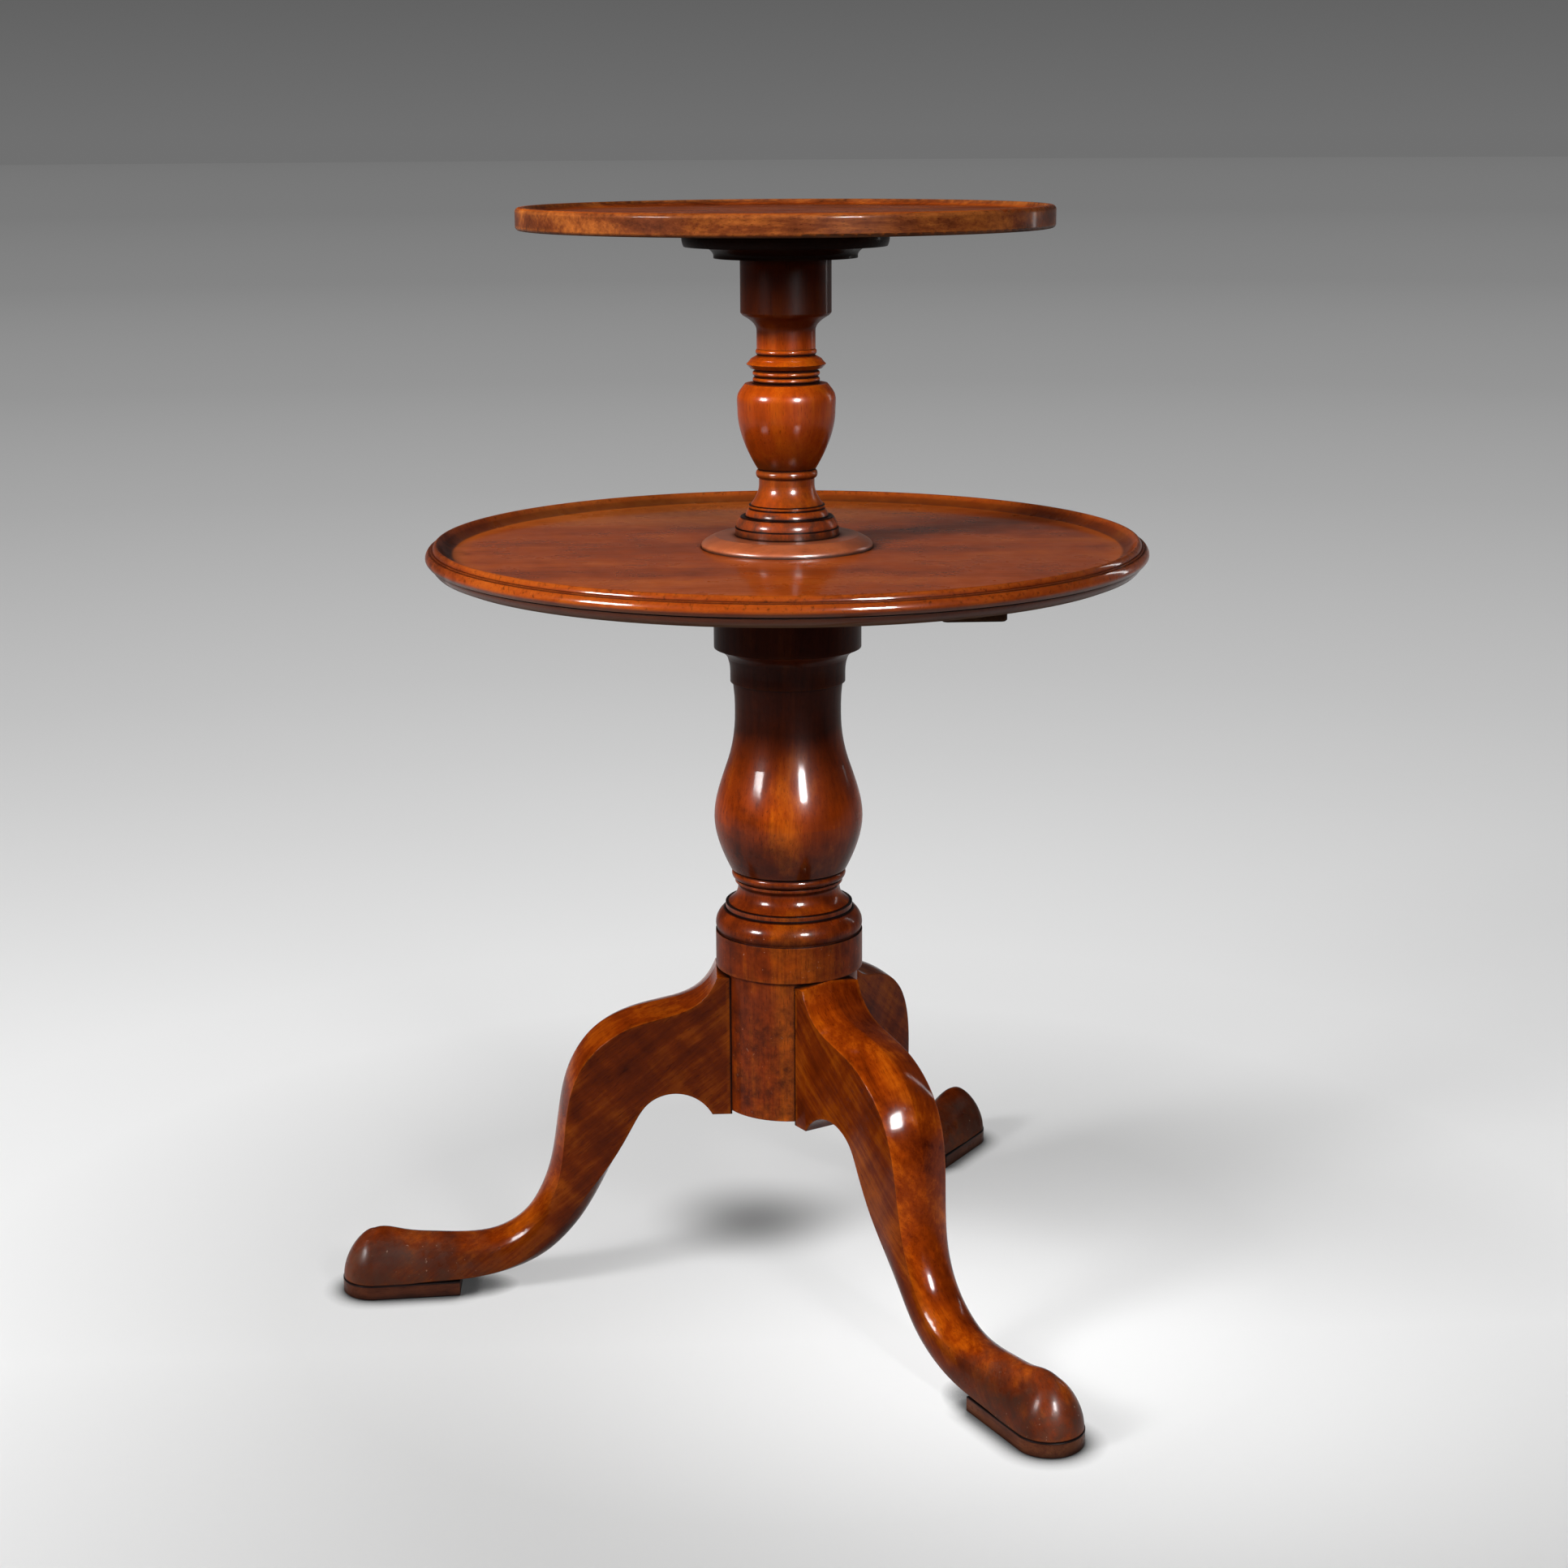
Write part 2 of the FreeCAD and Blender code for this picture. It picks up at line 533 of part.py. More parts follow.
def crest_line():
    """Ridge of the leg's top as points of its thigh, its calf and its foot."""
    hip = at(COLLAR_RADIUS, COLLAR_UNDERSIDE)
    knee = at(KNEE_REACH, COLLAR_UNDERSIDE - KNEE_DROP)
    ankle = at(ANKLE_REACH, SHOE_THICKNESS + ANKLE_RISE)
    toe = at(PAD_REACH, SHOE_THICKNESS + PAD_HEIGHT)
    thigh = between(hip, knee, CREST_HOLLOW, CREST_THIGH, CREST_BROW)
    shin = between(knee, ankle, CREST_SHIN)
    foot = between(ankle, toe, CREST_INSTEP, CREST_WAIST)
    curve = Part.BSplineCurve()
    curve.interpolate([hip, *thigh, knee, *shin, ankle, *foot, toe])
    breaks = [curve.parameter(point) for point in (hip, thigh[-1], ankle, toe)]
    counts = (THIGH_SECTIONS, CALF_SECTIONS, FOOT_SECTIONS)
    return [even_points(curve.toShape(first, last), count)
            for first, last, count in zip(breaks, breaks[1:], counts)]


def soffit_line():
    """Underside of the leg in the same three runs: arch, calf, and heel with the flat sole."""
    cusp = at(DRUM_RADIUS + CUSP_GAP, PILLAR_CLEARANCE - CUSP_DROP)
    crown = at(DRUM_RADIUS + ARCH_CROWN_GAP, PILLAR_CLEARANCE + ARCH_CROWN_RISE)
    calf = at(DRUM_RADIUS + ARCH_END_GAP, PILLAR_CLEARANCE - ARCH_END_DROP)
    ankle = at(ANKLE_REACH - ANKLE_DEPTH, SHOE_THICKNESS + ANKLE_RISE - ANKLE_BACK_DROP)
    sole = at(PAD_REACH - SOLE_LENGTH, SHOE_THICKNESS)
    curve = Part.BSplineCurve()
    curve.interpolate([calf, *between(calf, ankle, BACK_OF_CALF), ankle,
                       *between(ankle, sole, BACK_OF_HEEL, UNDER_HEEL), sole])
    middle = curve.parameter(ankle)
    heel = curve.toShape(middle, curve.LastParameter)
    flat = Part.LineSegment(sole, at(PAD_REACH, SHOE_THICKNESS)).toShape()
    return [even_points(Part.Arc(cusp, crown, calf).toShape(), THIGH_SECTIONS),
            even_points(curve.toShape(curve.FirstParameter, middle), CALF_SECTIONS),
            even_points(Part.Wire([heel, flat]), FOOT_SECTIONS)]


def block_poles(half_width, back, depth, crown):
    """Half section, crest to soffit, with a ridged top, straight sides and crisp arrises."""
    side = depth - crown
    return [(0, depth), (half_width / 3, depth - crown * RIDGE_SHARE),
            (half_width * 2 / 3, depth - crown * SLOPE_SHARE), (half_width, side),
            (mix(half_width, back, 1 / 3), side * 2 / 3), (mix(half_width, back, 2 / 3), side / 3),
            (back, 0), (back * 2 / 3, 0), (back / 3, 0), (0, 0)]


def round_poles(half_width, depth):
    """Half of an ellipse, crest to soffit, in three equal turns."""
    turn = math.pi / 3
    handle = math.tan(turn / 4) * 4 / 3
    poles = [(0, depth)]
    for start in (0, turn, 2 * turn):
        end = start + turn
        for angle, reach in ((start, handle), (end, -handle), (end, 0)):
            poles.append((half_width * (math.sin(angle) + reach * math.cos(angle)),
                          depth / 2 * (1 + math.cos(angle) - reach * math.sin(angle))))
    return poles


def pad_poles(half_width, depth):
    """Half of the pad's dome over its flat sole: one curve, halved, then a straight line."""
    poles = [(0, depth), (PAD_CROWN_HANDLE, depth), (half_width, PAD_SIDE_HANDLE), (half_width, 0)]
    outer = mixed(poles, poles[1:], 0.5)
    inner = mixed(outer, outer[1:], 0.5)
    middle = mixed(inner, inner[1:], 0.5)
    return [poles[0], outer[0], inner[0], middle[0], inner[1], outer[2], poles[3],
            (half_width * 2 / 3, 0), (half_width / 3, 0), (0, 0)]


def section(crest, soffit, poles):
    """Closed outline through a crest and a soffit point, from the poles of its half."""
    up = (crest - soffit).normalize()
    place = [soffit + up * height + at(0, 0, across) for across, height in poles]
    mirror = [soffit + up * height - at(0, 0, across) for across, height in reversed(poles)]
    edges = []
    for side in (place, mirror):
        for first in (0, 3, 6):
            curve = Part.BezierCurve()
            curve.setPoles(side[first:first + 4])
            edges.append(curve.toShape())
    return Part.Wire(edges)


def eased(share):
    return share * share * (3 - 2 * share)


def thigh_poles(share, depth):
    back = mix(LEG_HALF_WIDTH, CALF_BACK_HALF_WIDTH, share)
    return block_poles(LEG_HALF_WIDTH, back, depth, mix(HIP_CROWN, BROW_CROWN, share))


def calf_poles(share, depth):
    half_width = mix(LEG_HALF_WIDTH, ANKLE_HALF_WIDTH, share)
    back = mix(CALF_BACK_HALF_WIDTH, ANKLE_HALF_WIDTH, eased(share))
    block = block_poles(half_width, back, depth, mix(BROW_CROWN, ANKLE_CROWN, share))
    return mixed(block, round_poles(half_width, depth), eased(share) ** 2)


def foot_poles(share, depth):
    half_width = mix(ANKLE_HALF_WIDTH, PAD_RADIUS, share ** 3)
    return mixed(round_poles(half_width, depth), pad_poles(half_width, depth), eased(share))


def leg_sections():
    """Outlines from hip to toe: a ridged block that rounds at the ankle and flattens to the pad."""
    outlines = []
    runs = zip((thigh_poles, calf_poles, foot_poles), crest_line(), soffit_line())
    for poles, crests, soffits in runs:
        steps = len(crests) - 1
        first = 1 if outlines else 0
        for i in range(first, steps + 1):
            depth = crests[i].distanceToPoint(soffits[i])
            outlines.append(section(crests[i], soffits[i], poles(i / steps, depth)))
    return outlines


def leg():
    """Leg along +X: lofted limb, scribed hip with its dovetail, and round toe, planed flat below."""
    outlines = leg_sections()
    limb = Part.makeLoft(outlines, True)
    hip = Part.Face(outlines[0]).extrude(at(-DRUM_RADIUS / 2, 0))
    drum = Part.makeCylinder(DRUM_RADIUS + GLUE_LINE, COLLAR_UNDERSIDE)
    half_toe = outlines[-1].Edges[:3]
    upright = Part.LineSegment(half_toe[-1].Vertexes[-1].Point, half_toe[0].Vertexes[0].Point)
    toe_face = Part.Face(Part.Wire(half_toe + [upright.toShape()]))
    toe = toe_face.revolve(at(PAD_REACH, 0), AXIS, -180)
    below_sole = Part.makeCylinder(PAD_REACH + 2 * PAD_RADIUS, SHOE_THICKNESS)
    return limb.fuse([hip.cut(drum), tongue(), toe]).cut(below_sole)


def shoe():
    toe_radius = PAD_RADIUS + SHOE_MARGIN
    heel = [at(PAD_REACH - SHOE_LENGTH, 0, side * SHOE_HEEL_HALF_WIDTH) for side in (-1, 1)]
    sides = [at(PAD_REACH, 0, side * toe_radius) for side in (-1, 1)]
    tip = at(PAD_REACH + toe_radius, 0)
    outline = [Part.LineSegment(heel[0], heel[1]), Part.LineSegment(heel[1], sides[1]),
               Part.Arc(sides[1], tip, sides[0]), Part.LineSegment(sides[0], heel[0])]
    plan = Part.Face(Part.Wire([curve.toShape() for curve in outline]))
    return chamfered_below(plan.extrude(AXIS * SHOE_THICKNESS))


# ---- Assembly ----

def assembly():
    """Every piece in its place, by the name of its node."""
    pieces = {}
    pieces["lower_pillar"], tray_seat = lower_pillar()
    tray_surface = tray_seat + TRAY_THICKNESS
    pieces["upper_pillar"], flange_seat = upper_pillar(tray_seat + JOURNAL_LENGTH)
    flange, flange_plate, top_seat = top_flange(flange_seat)

    batten_foot = tray_seat - BATTEN_THICKNESS
    batten_screws = screw_row(BATTEN_SCREWS, BATTEN_INNER_EDGE + BATTEN_WIDTH / 2, batten_foot,
                              BATTEN_LENGTH - 2 * BATTEN_SCREW_MARGIN, BATTEN_THICKNESS + SCREW_BITE)
    boss_screws = screw_ring(BOSS_SCREWS, BOSS_SCREW_CIRCLE, tray_seat, TRAY_THICKNESS + SCREW_BITE)
    flange_screws = screw_ring(FLANGE_SCREWS, FLANGE_SCREW_CIRCLE, flange_plate,
                               FLANGE_THICKNESS + SCREW_BITE)

    pieces["lower_tray"] = lower_tray(tray_seat).cut(batten_screws + boss_screws)
    pieces["pillar_boss"] = pillar_boss(tray_surface - BOSS_HOUSING).cut(boss_screws)
    pieces["tray_batten"] = tray_batten(tray_seat).cut(batten_screws)
    pieces["top_flange"] = flange.cut(flange_screws)
    pieces["top_tray"] = top_tray(top_seat).cut(flange_screws)
    pieces["batten_screws"] = Part.makeCompound([slotted(screw) for screw in batten_screws])
    pieces["boss_screws"] = Part.makeCompound([slotted(screw) for screw in boss_screws])
    pieces["flange_screws"] = Part.makeCompound([slotted(screw) for screw in flange_screws])

    for side, azimuth in LEG_AZIMUTHS.items():
        pieces[side + "_leg"] = turned_about(leg(), azimuth)
        pieces[side + "_shoe"] = turned_about(shoe(), azimuth)
    return pieces


os.makedirs("parts", exist_ok=True)
for name, shape in assembly().items():
    shape.exportStep("parts/" + name + ".step")
    print(name, "solids", len(shape.Solids), "volume", round(shape.Volume), "valid", shape.isValid())
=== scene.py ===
import bpy
import math
from mathutils import Matrix, Vector


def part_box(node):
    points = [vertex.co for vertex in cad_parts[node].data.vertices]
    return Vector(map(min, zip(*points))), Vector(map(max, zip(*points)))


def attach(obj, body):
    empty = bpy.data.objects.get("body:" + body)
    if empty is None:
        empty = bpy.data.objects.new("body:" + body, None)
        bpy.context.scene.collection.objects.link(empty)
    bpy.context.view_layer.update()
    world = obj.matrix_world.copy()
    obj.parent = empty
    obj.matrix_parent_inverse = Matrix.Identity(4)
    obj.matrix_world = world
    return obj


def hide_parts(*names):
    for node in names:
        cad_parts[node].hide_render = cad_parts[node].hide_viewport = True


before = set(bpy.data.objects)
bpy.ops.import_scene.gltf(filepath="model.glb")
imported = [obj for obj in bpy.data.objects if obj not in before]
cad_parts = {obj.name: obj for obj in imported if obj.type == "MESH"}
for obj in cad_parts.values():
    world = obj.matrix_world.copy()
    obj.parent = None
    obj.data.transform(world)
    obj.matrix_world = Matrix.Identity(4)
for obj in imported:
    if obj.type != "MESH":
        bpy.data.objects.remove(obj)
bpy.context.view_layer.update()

# Metres, unless a comment says otherwise. Tones are linear colours.

# ---- Camera, found from the ellipses of the trays and the three feet ----
CAMERA_PLACE = Vector((-0.1014, -1.9832, 0.9030))
CAMERA_HEADING = math.radians(-2.83)      # from +Y, anticlockwise
CAMERA_PITCH = math.radians(13.88)        # downwards
CAMERA_ROLL = math.radians(-0.316)
CAMERA_LENS = 60.56                       # mm
SENSOR_WIDTH = 36.0                       # mm

# ---- Floor ----
FLOOR_RADIUS = 90.0
FLOOR_SIDES = 96
FLOOR_ALBEDO = 0.30
FLOOR_ROUGHNESS = 0.9
# distance from the table, light that the floor gives out beside what falls on it
FLOOR_GLOW = ((0.4, 0.44), (0.7, 0.60), (0.9, 0.613), (1.3, 0.575), (1.9, 0.513), (2.5, 0.467),
              (3.7, 0.410), (4.9, 0.360), (8.0, 0.285), (15.0, 0.218), (30.0, 0.182), (90.0, 0.164))
POOL = (0.20, -0.20, 0.0)                 # middle of the brightest pool of light
POOL_REACH = 0.5
POOL_LIGHT = 0.33
FRONT_FALL = (-0.50, -0.12, -0.24)        # y, y, light added at the first of them
GLOW_START = (-1.6, -0.5)                 # y, y: in front of the first the floor glows least
FRONT_GLOW = 0.4                          # share of the glow that is left there
CONTACT_REACH = 0.018                     # of the painted contact shadow round a foot
CONTACT_OPENNESS = (0.55, 0.97)           # from the darkest of the halo to its edge
CONTACT_LIGHT = 0.10                      # share of the light that is left in the darkest of it
UNDER_TABLE = (-0.025, 0.12, 0.0)         # middle of the soft shade under the table
UNDER_TABLE_REACH = 0.105
UNDER_TABLE_LIGHT = 0.40                  # share of the light that is left in the middle of it

# ---- Sky and softboxes ----
# sine of the height above the horizon, light of the sky
SKY = ((-1.0, 0.16), (0.0, 0.16), (0.05, 0.12), (0.25, 0.07), (1.0, 0.05))
SKY_TURN = (-0.3, 0.6)                    # direction's y: from the camera's side to the far side
SKY_IN_FRONT = 0.3                        # share of the light on the camera's side
TARGET = Vector((0.0, 0.0, 0.45))         # that the softboxes look at
# name: azimuth from the camera's direction (left is negative) and elevation in degrees, distance,
# width, height, watts, role: a glint is seen only in the polish, a wash only lights the wood
SOFTBOXES = {
    "glint_left": (-62.0, 23.0, 2.6, 0.66, 0.52, 160.0, "glint"),
    "glint_right": (20.0, 23.0, 2.6, 0.44, 0.54, 330.0, "glint"),
    "glint_edge": (118.0, 15.0, 2.2, 0.12, 0.9, 3.5, "glint"),
    "key_left": (-60.0, 25.0, 2.6, 0.55, 0.50, 56.0, "wash"),
    "key_right": (22.0, 25.0, 2.6, 0.45, 0.50, 24.0, "wash"),
    "halo_left": (-50.0, 32.0, 2.5, 1.3, 0.9, 30.0, "wash"),
}

# ---- Tones from the darkest figure to the lightest ----
TRAY_TONES = ((0.110, 0.014, 0.002), (0.380, 0.060, 0.005), (0.600, 0.130, 0.012))
COLUMN_TONES = ((0.070, 0.007, 0.0005), (0.250, 0.032, 0.0012), (0.540, 0.110, 0.003))
URN_TONES = ((0.130, 0.014, 0.0005), (0.420, 0.056, 0.0015), (0.680, 0.150, 0.004))
LEG_TONES = ((0.060, 0.006, 0.0005), (0.210, 0.027, 0.001), (0.480, 0.095, 0.003))
# the boss's tones are greyed as a painted sheen, in place of its broad highlights
BOSS_TONES_AND_SHEEN = ((0.095, 0.018, 0.006), (0.340, 0.076, 0.022), (0.530, 0.150, 0.048))
EDGE_TONES = ((0.035, 0.008, 0.003), (0.160, 0.036, 0.010), (0.460, 0.130, 0.022))
RAW_TONES = ((0.020, 0.009, 0.005), (0.050, 0.022, 0.011), (0.085, 0.042, 0.022))
FLANGE_TONES = ((0.004, 0.002, 0.001), (0.012, 0.005, 0.003), (0.025, 0.011, 0.007))
SHOE_TONES = ((0.020, 0.006, 0.003), (0.082, 0.022, 0.009), (0.180, 0.060, 0.022))
IRON_TONES = ((0.020, 0.012, 0.009), (0.060, 0.045, 0.038), (0.120, 0.105, 0.095))

# ---- Tones of what lies on the wood, and of painted light and shade ----
# near black: wax in the pores and hollows, and painted shade
WAX_AND_SHADE = (0.004, 0.001, 0.0005)
STAIN = (0.020, 0.004, 0.002)
DUST = (0.045, 0.021, 0.013)
# dirt on the toes, lightened and greyed as a painted sheen
FOOT_DIRT_AND_SHEEN = (0.078, 0.032, 0.019)
DARK_UPPER_BASE = (0.10, 0.028, 0.006)
TRAY_PAINTED_LIGHT = (0.60, 0.17, 0.03)
DARK_RIM = (0.030, 0.006, 0.002)
FLECK = (0.42, 0.26, 0.18)                # bare specks where the polish is dulled

# ---- Figure of the wood: waves to the metre along the grain and across it ----
SWAY = (2.2, 7.0)                         # slow wander of the whole figure
SWAY_REACH = (0.0, 0.035, 0.035)
RINGS = (1.6, 70.0)
FIBRES = (14.0, 260.0)
CLOUDS = (3.0, 20.0)
BARS = (75.0, 9.0)                        # fiddleback
PORES = (130.0, 1300.0)
SEED_SHIFT = (1.0, 0.37, 0.61)            # way into the pattern for a seed of 1
# share in the figure; scale, detail and roughness of its noise
RING_LAYER = (1.0, (1.0, 3.0, 0.5))
FIBRE_LAYER = (0.9, (1.0, 4.0, 0.7))
CLOUD_LAYER = (1.0, (1.0, 2.0, 0.55))
MOTTLE_LAYER = (1.0, (30.0, 5.0, 0.65))
# scale, detail and roughness of the noise; range of its values from none to full
NOISE_MIDDLE = 0.5
SWAY_NOISE = (1.0, 3.0, 0.55)
BAR_NOISE = (1.0, 2.0, 0.55)
PORE_NOISE, PORE_RANGE = (1.0, 1.0, 0.55), (0.63, 0.70)
BLOTCH_NOISE, BLOTCH_RANGE = (13.0, 5.0, 0.55), (0.52, 0.75)

# ---- Wear, wax, stains and painted light and shade: noises and ranges in the same way ----
ARRIS_REACH = 0.004                       # how far from an edge the lightening goes, for wear and painted highlight
ARRIS_OPENNESS = (0.68, 0.95)             # from fully lightened to not at all
ARRIS_SAMPLES = 6
ARRIS_NOISE, ARRIS_RANGE = (170.0, 3.0, 0.55), (0.35, 0.60)
MARK_FRAY_NOISE, MARK_FRAY_REACH = (60.0, 4.0, 0.55), 0.05
MARK_EDGE = (0.6, 1.1)                    # of a mark's half size, from full to none
MARK_NOISE, MARK_RANGE = (95.0, 6.0, 0.7), (0.35, 0.65)
MARK_WEAKEST, MARK_STRONGEST = 0.45, 1.25     # of a mark's strength
FLECK_NOISE, FLECK_RANGE, FLECK_SHARE = (330.0, 2.0, 0.55), (0.70, 0.76), 0.7
OCCLUSION_SAMPLES = 8
HOLLOW_REACH = 0.009                      # how far the wax gathers from the foot of a hollow
HOLLOW_OPENNESS = (0.45, 0.88)            # from full of wax to clean
CREVICE_REACH = 0.0028                    # how far a quirk stays black
CREVICE_OPENNESS = (0.60, 0.90)
GRIME_SHARE = 0.92
UP_FACING = (0.6, 0.9)                    # normal's z, from the side's tones to the top's
# normal's z, from full painted shade on faces that look down to none, and that shade's darkness
DOWN_FACING, DOWN_SHADE = (-0.5, 0.2), 0.75
RAW_FACING = (-0.9, -0.5)                 # normal's z, from raw wood to polished
FLANK_FACING = (0.60, 0.90)
TRAY_SHADOW_WANDER = 0.02                       # how unevenly high the painted shadow of the tray above starts
TRAY_SHADOW_DULLING = 0.75
LINE_SHADE = 0.95                         # of grooves and glue lines
PILLAR_DRUM_RADIUS = 0.0535               # that the legs' roots are seated on
SEAM_WIDTH = 0.0022

# ---- Rim of the lower tray ----
TRAY_RIM_INNER = 0.2515                   # from the axis to the foot of the inner wall
RIM_BLEND = 0.002
RIM_WALL, RIM_SHADE = 0.0085, 0.60        # width and darkness of the painted shade on the inner wall
RIM_PAINTED_GLOW, RIM_PAINTED_GLOW_SHARE = 0.012, 0.55  # width and brightness of the painted reflection inside it
CREST_SHARE = 0.45                        # of the darkest tone on the crest and the nose
SPECK_NOISE, SPECK_RANGE, SPECK_SHADE = (280.0, 4.0, 0.7), (0.54, 0.68), 0.6
SKIRT_TOP, SKIRT_BLEND, SKIRT_SHADE = 0.5910, 0.001, 0.85     # below the nose the rim gets painted shade

# ---- Polish ----
POLISH_SHEEN = 0.012                      # of the rubbed wood itself
POLISH_COAT_ROUGHNESS = 0.09
RUBBED_ROUGHNESS = 0.3
SMUDGE_NOISE, SMUDGE_RANGE = (28.0, 4.0, 0.55), (0.35, 0.75)
SMUDGE_SPREAD = (0.8, 1.5)                # of a piece's roughness
DULL_ROUGHNESS = 0.38                     # where dirt dulls the polish
GRIME_ROUGHNESS = 0.35                    # that the wax adds
RAW_ROUGHNESS = 0.45                      # that raw wood adds
RIPPLE_NOISE = (9.0, 2.0, 0.55)
RIPPLE_RELIEF, RIPPLE_STRENGTH = 0.0006, 0.4
PORE_DEPTH = 0.1                          # of the ripple's relief
BEVEL_SAMPLES = 6
ARRIS_RADIUS = 0.0012                     # of the eased edges

# ---- Iron of the screws ----
RUST_NOISE, RUST_RANGE = (420.0, 4.0, 0.55), (0.3, 0.7)
RUST_ROUGHNESS = (0.35, 0.7)
RUST_RELIEF, RUST_STRENGTH = 0.0002, 0.6
IRON_METALLIC = 0.85

# ---- Marks: centre, half sizes, tone, strength, how far they dull the polish ----
PILLAR_MARKS = (((-0.030, -0.048, 0.376), (0.034, 0.034, 0.024), STAIN, 0.45, 0.0),
                # the next three are bands all round the pillar that make it darker towards the bottom
                ((0.0, 0.0, 0.335), (0.20, 0.20, 0.050), STAIN, 0.45, 0.0),
                ((0.0, 0.0, 0.285), (0.20, 0.20, 0.030), STAIN, 0.50, 0.7),
                ((0.0, 0.0, 0.200), (0.20, 0.20, 0.075), STAIN, 0.70, 0.3))
# a darker band on the mouldings at the foot of the upper pillar, then dust below it
URN_MARKS = (((0.0, 0.0, 0.645), (0.10, 0.10, 0.020), DARK_UPPER_BASE, 0.6, 0.0),
             ((0.0, 0.0, 0.610), (0.10, 0.10, 0.020), DUST, 0.75, 0.4))
# first a painted pool of light on the back of the tray, then a darker patch on its left rim
TRAY_MARKS = (((-0.06, 0.19, 0.598), (0.22, 0.09, 0.03), TRAY_PAINTED_LIGHT, 0.45, 0.0),
              ((-0.264, -0.06, 0.598), (0.020, 0.14, 0.03), DARK_RIM, 0.75, 0.6))
# lines: height, half width
PILLAR_LINES = ((0.3147, 0.0013), (0.3189, 0.0006))
URN_LINES = ((0.6132, 0.0008), (0.6216, 0.0011), (0.6278, 0.0010), (0.6303, 0.0006))
SHOE_LINES = ((0.0120, 0.0014),)

# ---- What each piece is finished with: mahogany()'s values by node ----
ALONG, UPRIGHT = (1, 0, 0), (0, 0, 1)
FINISHES = {
    "lower_pillar": dict(
        name="pillar_mahogany", tones=COLUMN_TONES, grain=UPRIGHT, seed=1.3, contrast=0.8, coat=0.2,
        coat_rough=0.12, sheen=0.02, wear_and_highlight=0.3, tray_shadow=(0.415, 0.470, 0.90), marks=PILLAR_MARKS,
        lines=PILLAR_LINES),
    "upper_pillar": dict(
        name="upper_pillar_mahogany", tones=URN_TONES, grain=UPRIGHT, seed=2.1, contrast=0.7,
        coat=0.30, coat_rough=0.17, sheen=0.02, wear_and_highlight=0.3, tray_shadow=(0.754, 0.770, 0.88),
        marks=URN_MARKS, lines=URN_LINES),
    "pillar_boss": dict(
        name="boss_mahogany", tones=BOSS_TONES_AND_SHEEN, seed=3.3, contrast=0.6, coat=1.0, coat_rough=0.3,
        sheen=0.06),
    "top_tray": dict(
        name="top_mahogany", tones=EDGE_TONES, grain=(1, 0.25, 0), seed=4.2, contrast=1.1, coat=0.08,
        wear_and_highlight=0.9, raw_below=True, top_share=0.8),
    "top_flange": dict(name="flange_mahogany", tones=FLANGE_TONES, seed=5.2, coat=0.02),
    "tray_batten": dict(name="batten_wood", tones=RAW_TONES, grain=(0, 1, 0), seed=6.0, coat=0.0),
}
TRAY_FINISH = dict(
    name="tray_mahogany", tones=TRAY_TONES, seed=0.4, heart=(0.02, 0.16), contrast=0.75, coat=0.45,
    wear_and_highlight=0.8, blotches=0.15, pores=0.2, raw_below=True, marks=TRAY_MARKS, rim=TRAY_RIM_INNER)
LEG_FINISH = dict(
    contrast=1.0, curl=0.6, coat_rough=0.12, wear_and_highlight=0.5, seam=PILLAR_DRUM_RADIUS, lines=SHOE_LINES,
    rubbed_to=0.12)
SHOE_FINISH = dict(tones=SHOE_TONES, coat=0.05, sheen=0.045, lines=SHOE_LINES)
# azimuth in degrees, seed, share of the leg's tones, shade of the flanks, coat, sheen
LEGS = {
    "left": (180.0, 7.1, 0.72, 0.52, 0.05, 0.045),
    "front": (300.0, 8.4, 1.1, 0.62, 0.06, 0.045),
    "rear": (60.0, 9.6, 0.6, 0.2, 0.0, 0.01),
}
LEG_GRAIN_FALL = math.radians(-38)        # the board's grain runs from hip to foot
SHOE_SEED_STEP = 0.5
TOE_REACH = 0.32                          # from the axis to the middle of the foot's dirt and painted sheen
TOE_MARK = ((0.10, 0.10, 0.055), FOOT_DIRT_AND_SHEEN, 0.75, 0.85)
SCREWS = ("batten_screws", "boss_screws", "flange_screws")

# ---- Lower tray, turned here so that its rim is round: millimetres, heights from its underside ----
MM = 0.001
TURN_SIDES = 288
CURVE_STEPS = 8
SHARP_ANGLE = math.radians(28)
TRAY_RADIUS = 272.5
TRAY_THICKNESS = 15.0
TRAY_RIM_HEIGHT = 7.5
TRAY_BORE = 20.1
TRAY_HOUSING_RADIUS = 65.1        # of the pocket that the boss is let into
TRAY_HOUSING_DEPTH = 1.0
# insets are from the nose; a lean is the slope of the outline, radius over height
TRAY_UNDERCUT = 13.5
TRAY_BEVEL = (8.0, 2.2)           # inset, rise
TRAY_SKIRT = (4.6, 5.6, 1.2)      # inset, rise, lean at its foot
TRAY_QUIRK = (1.3, 1.1)           # depth, height
TRAY_NOSE_FOOT = 2.0              # inset
TRAY_NOSE = (3.4, 0.9)            # rise, lean at its foot
TRAY_NOSE_TOP = (2.2, 5.2, -0.9)  # inset, rise, lean at its top
TRAY_FILLET = (3.7, 1.0)          # inset, rise
TRAY_RIDGE = (5.6, 0.9)           # inset, rise
TRAY_CREST_INSET = 7.8
TRAY_WALL = (9.9, 0.9)            # inset, drop from the crest
TRAY_WALL_SAG = 1.9
TRAY_RIM_WIDTH = 21.0


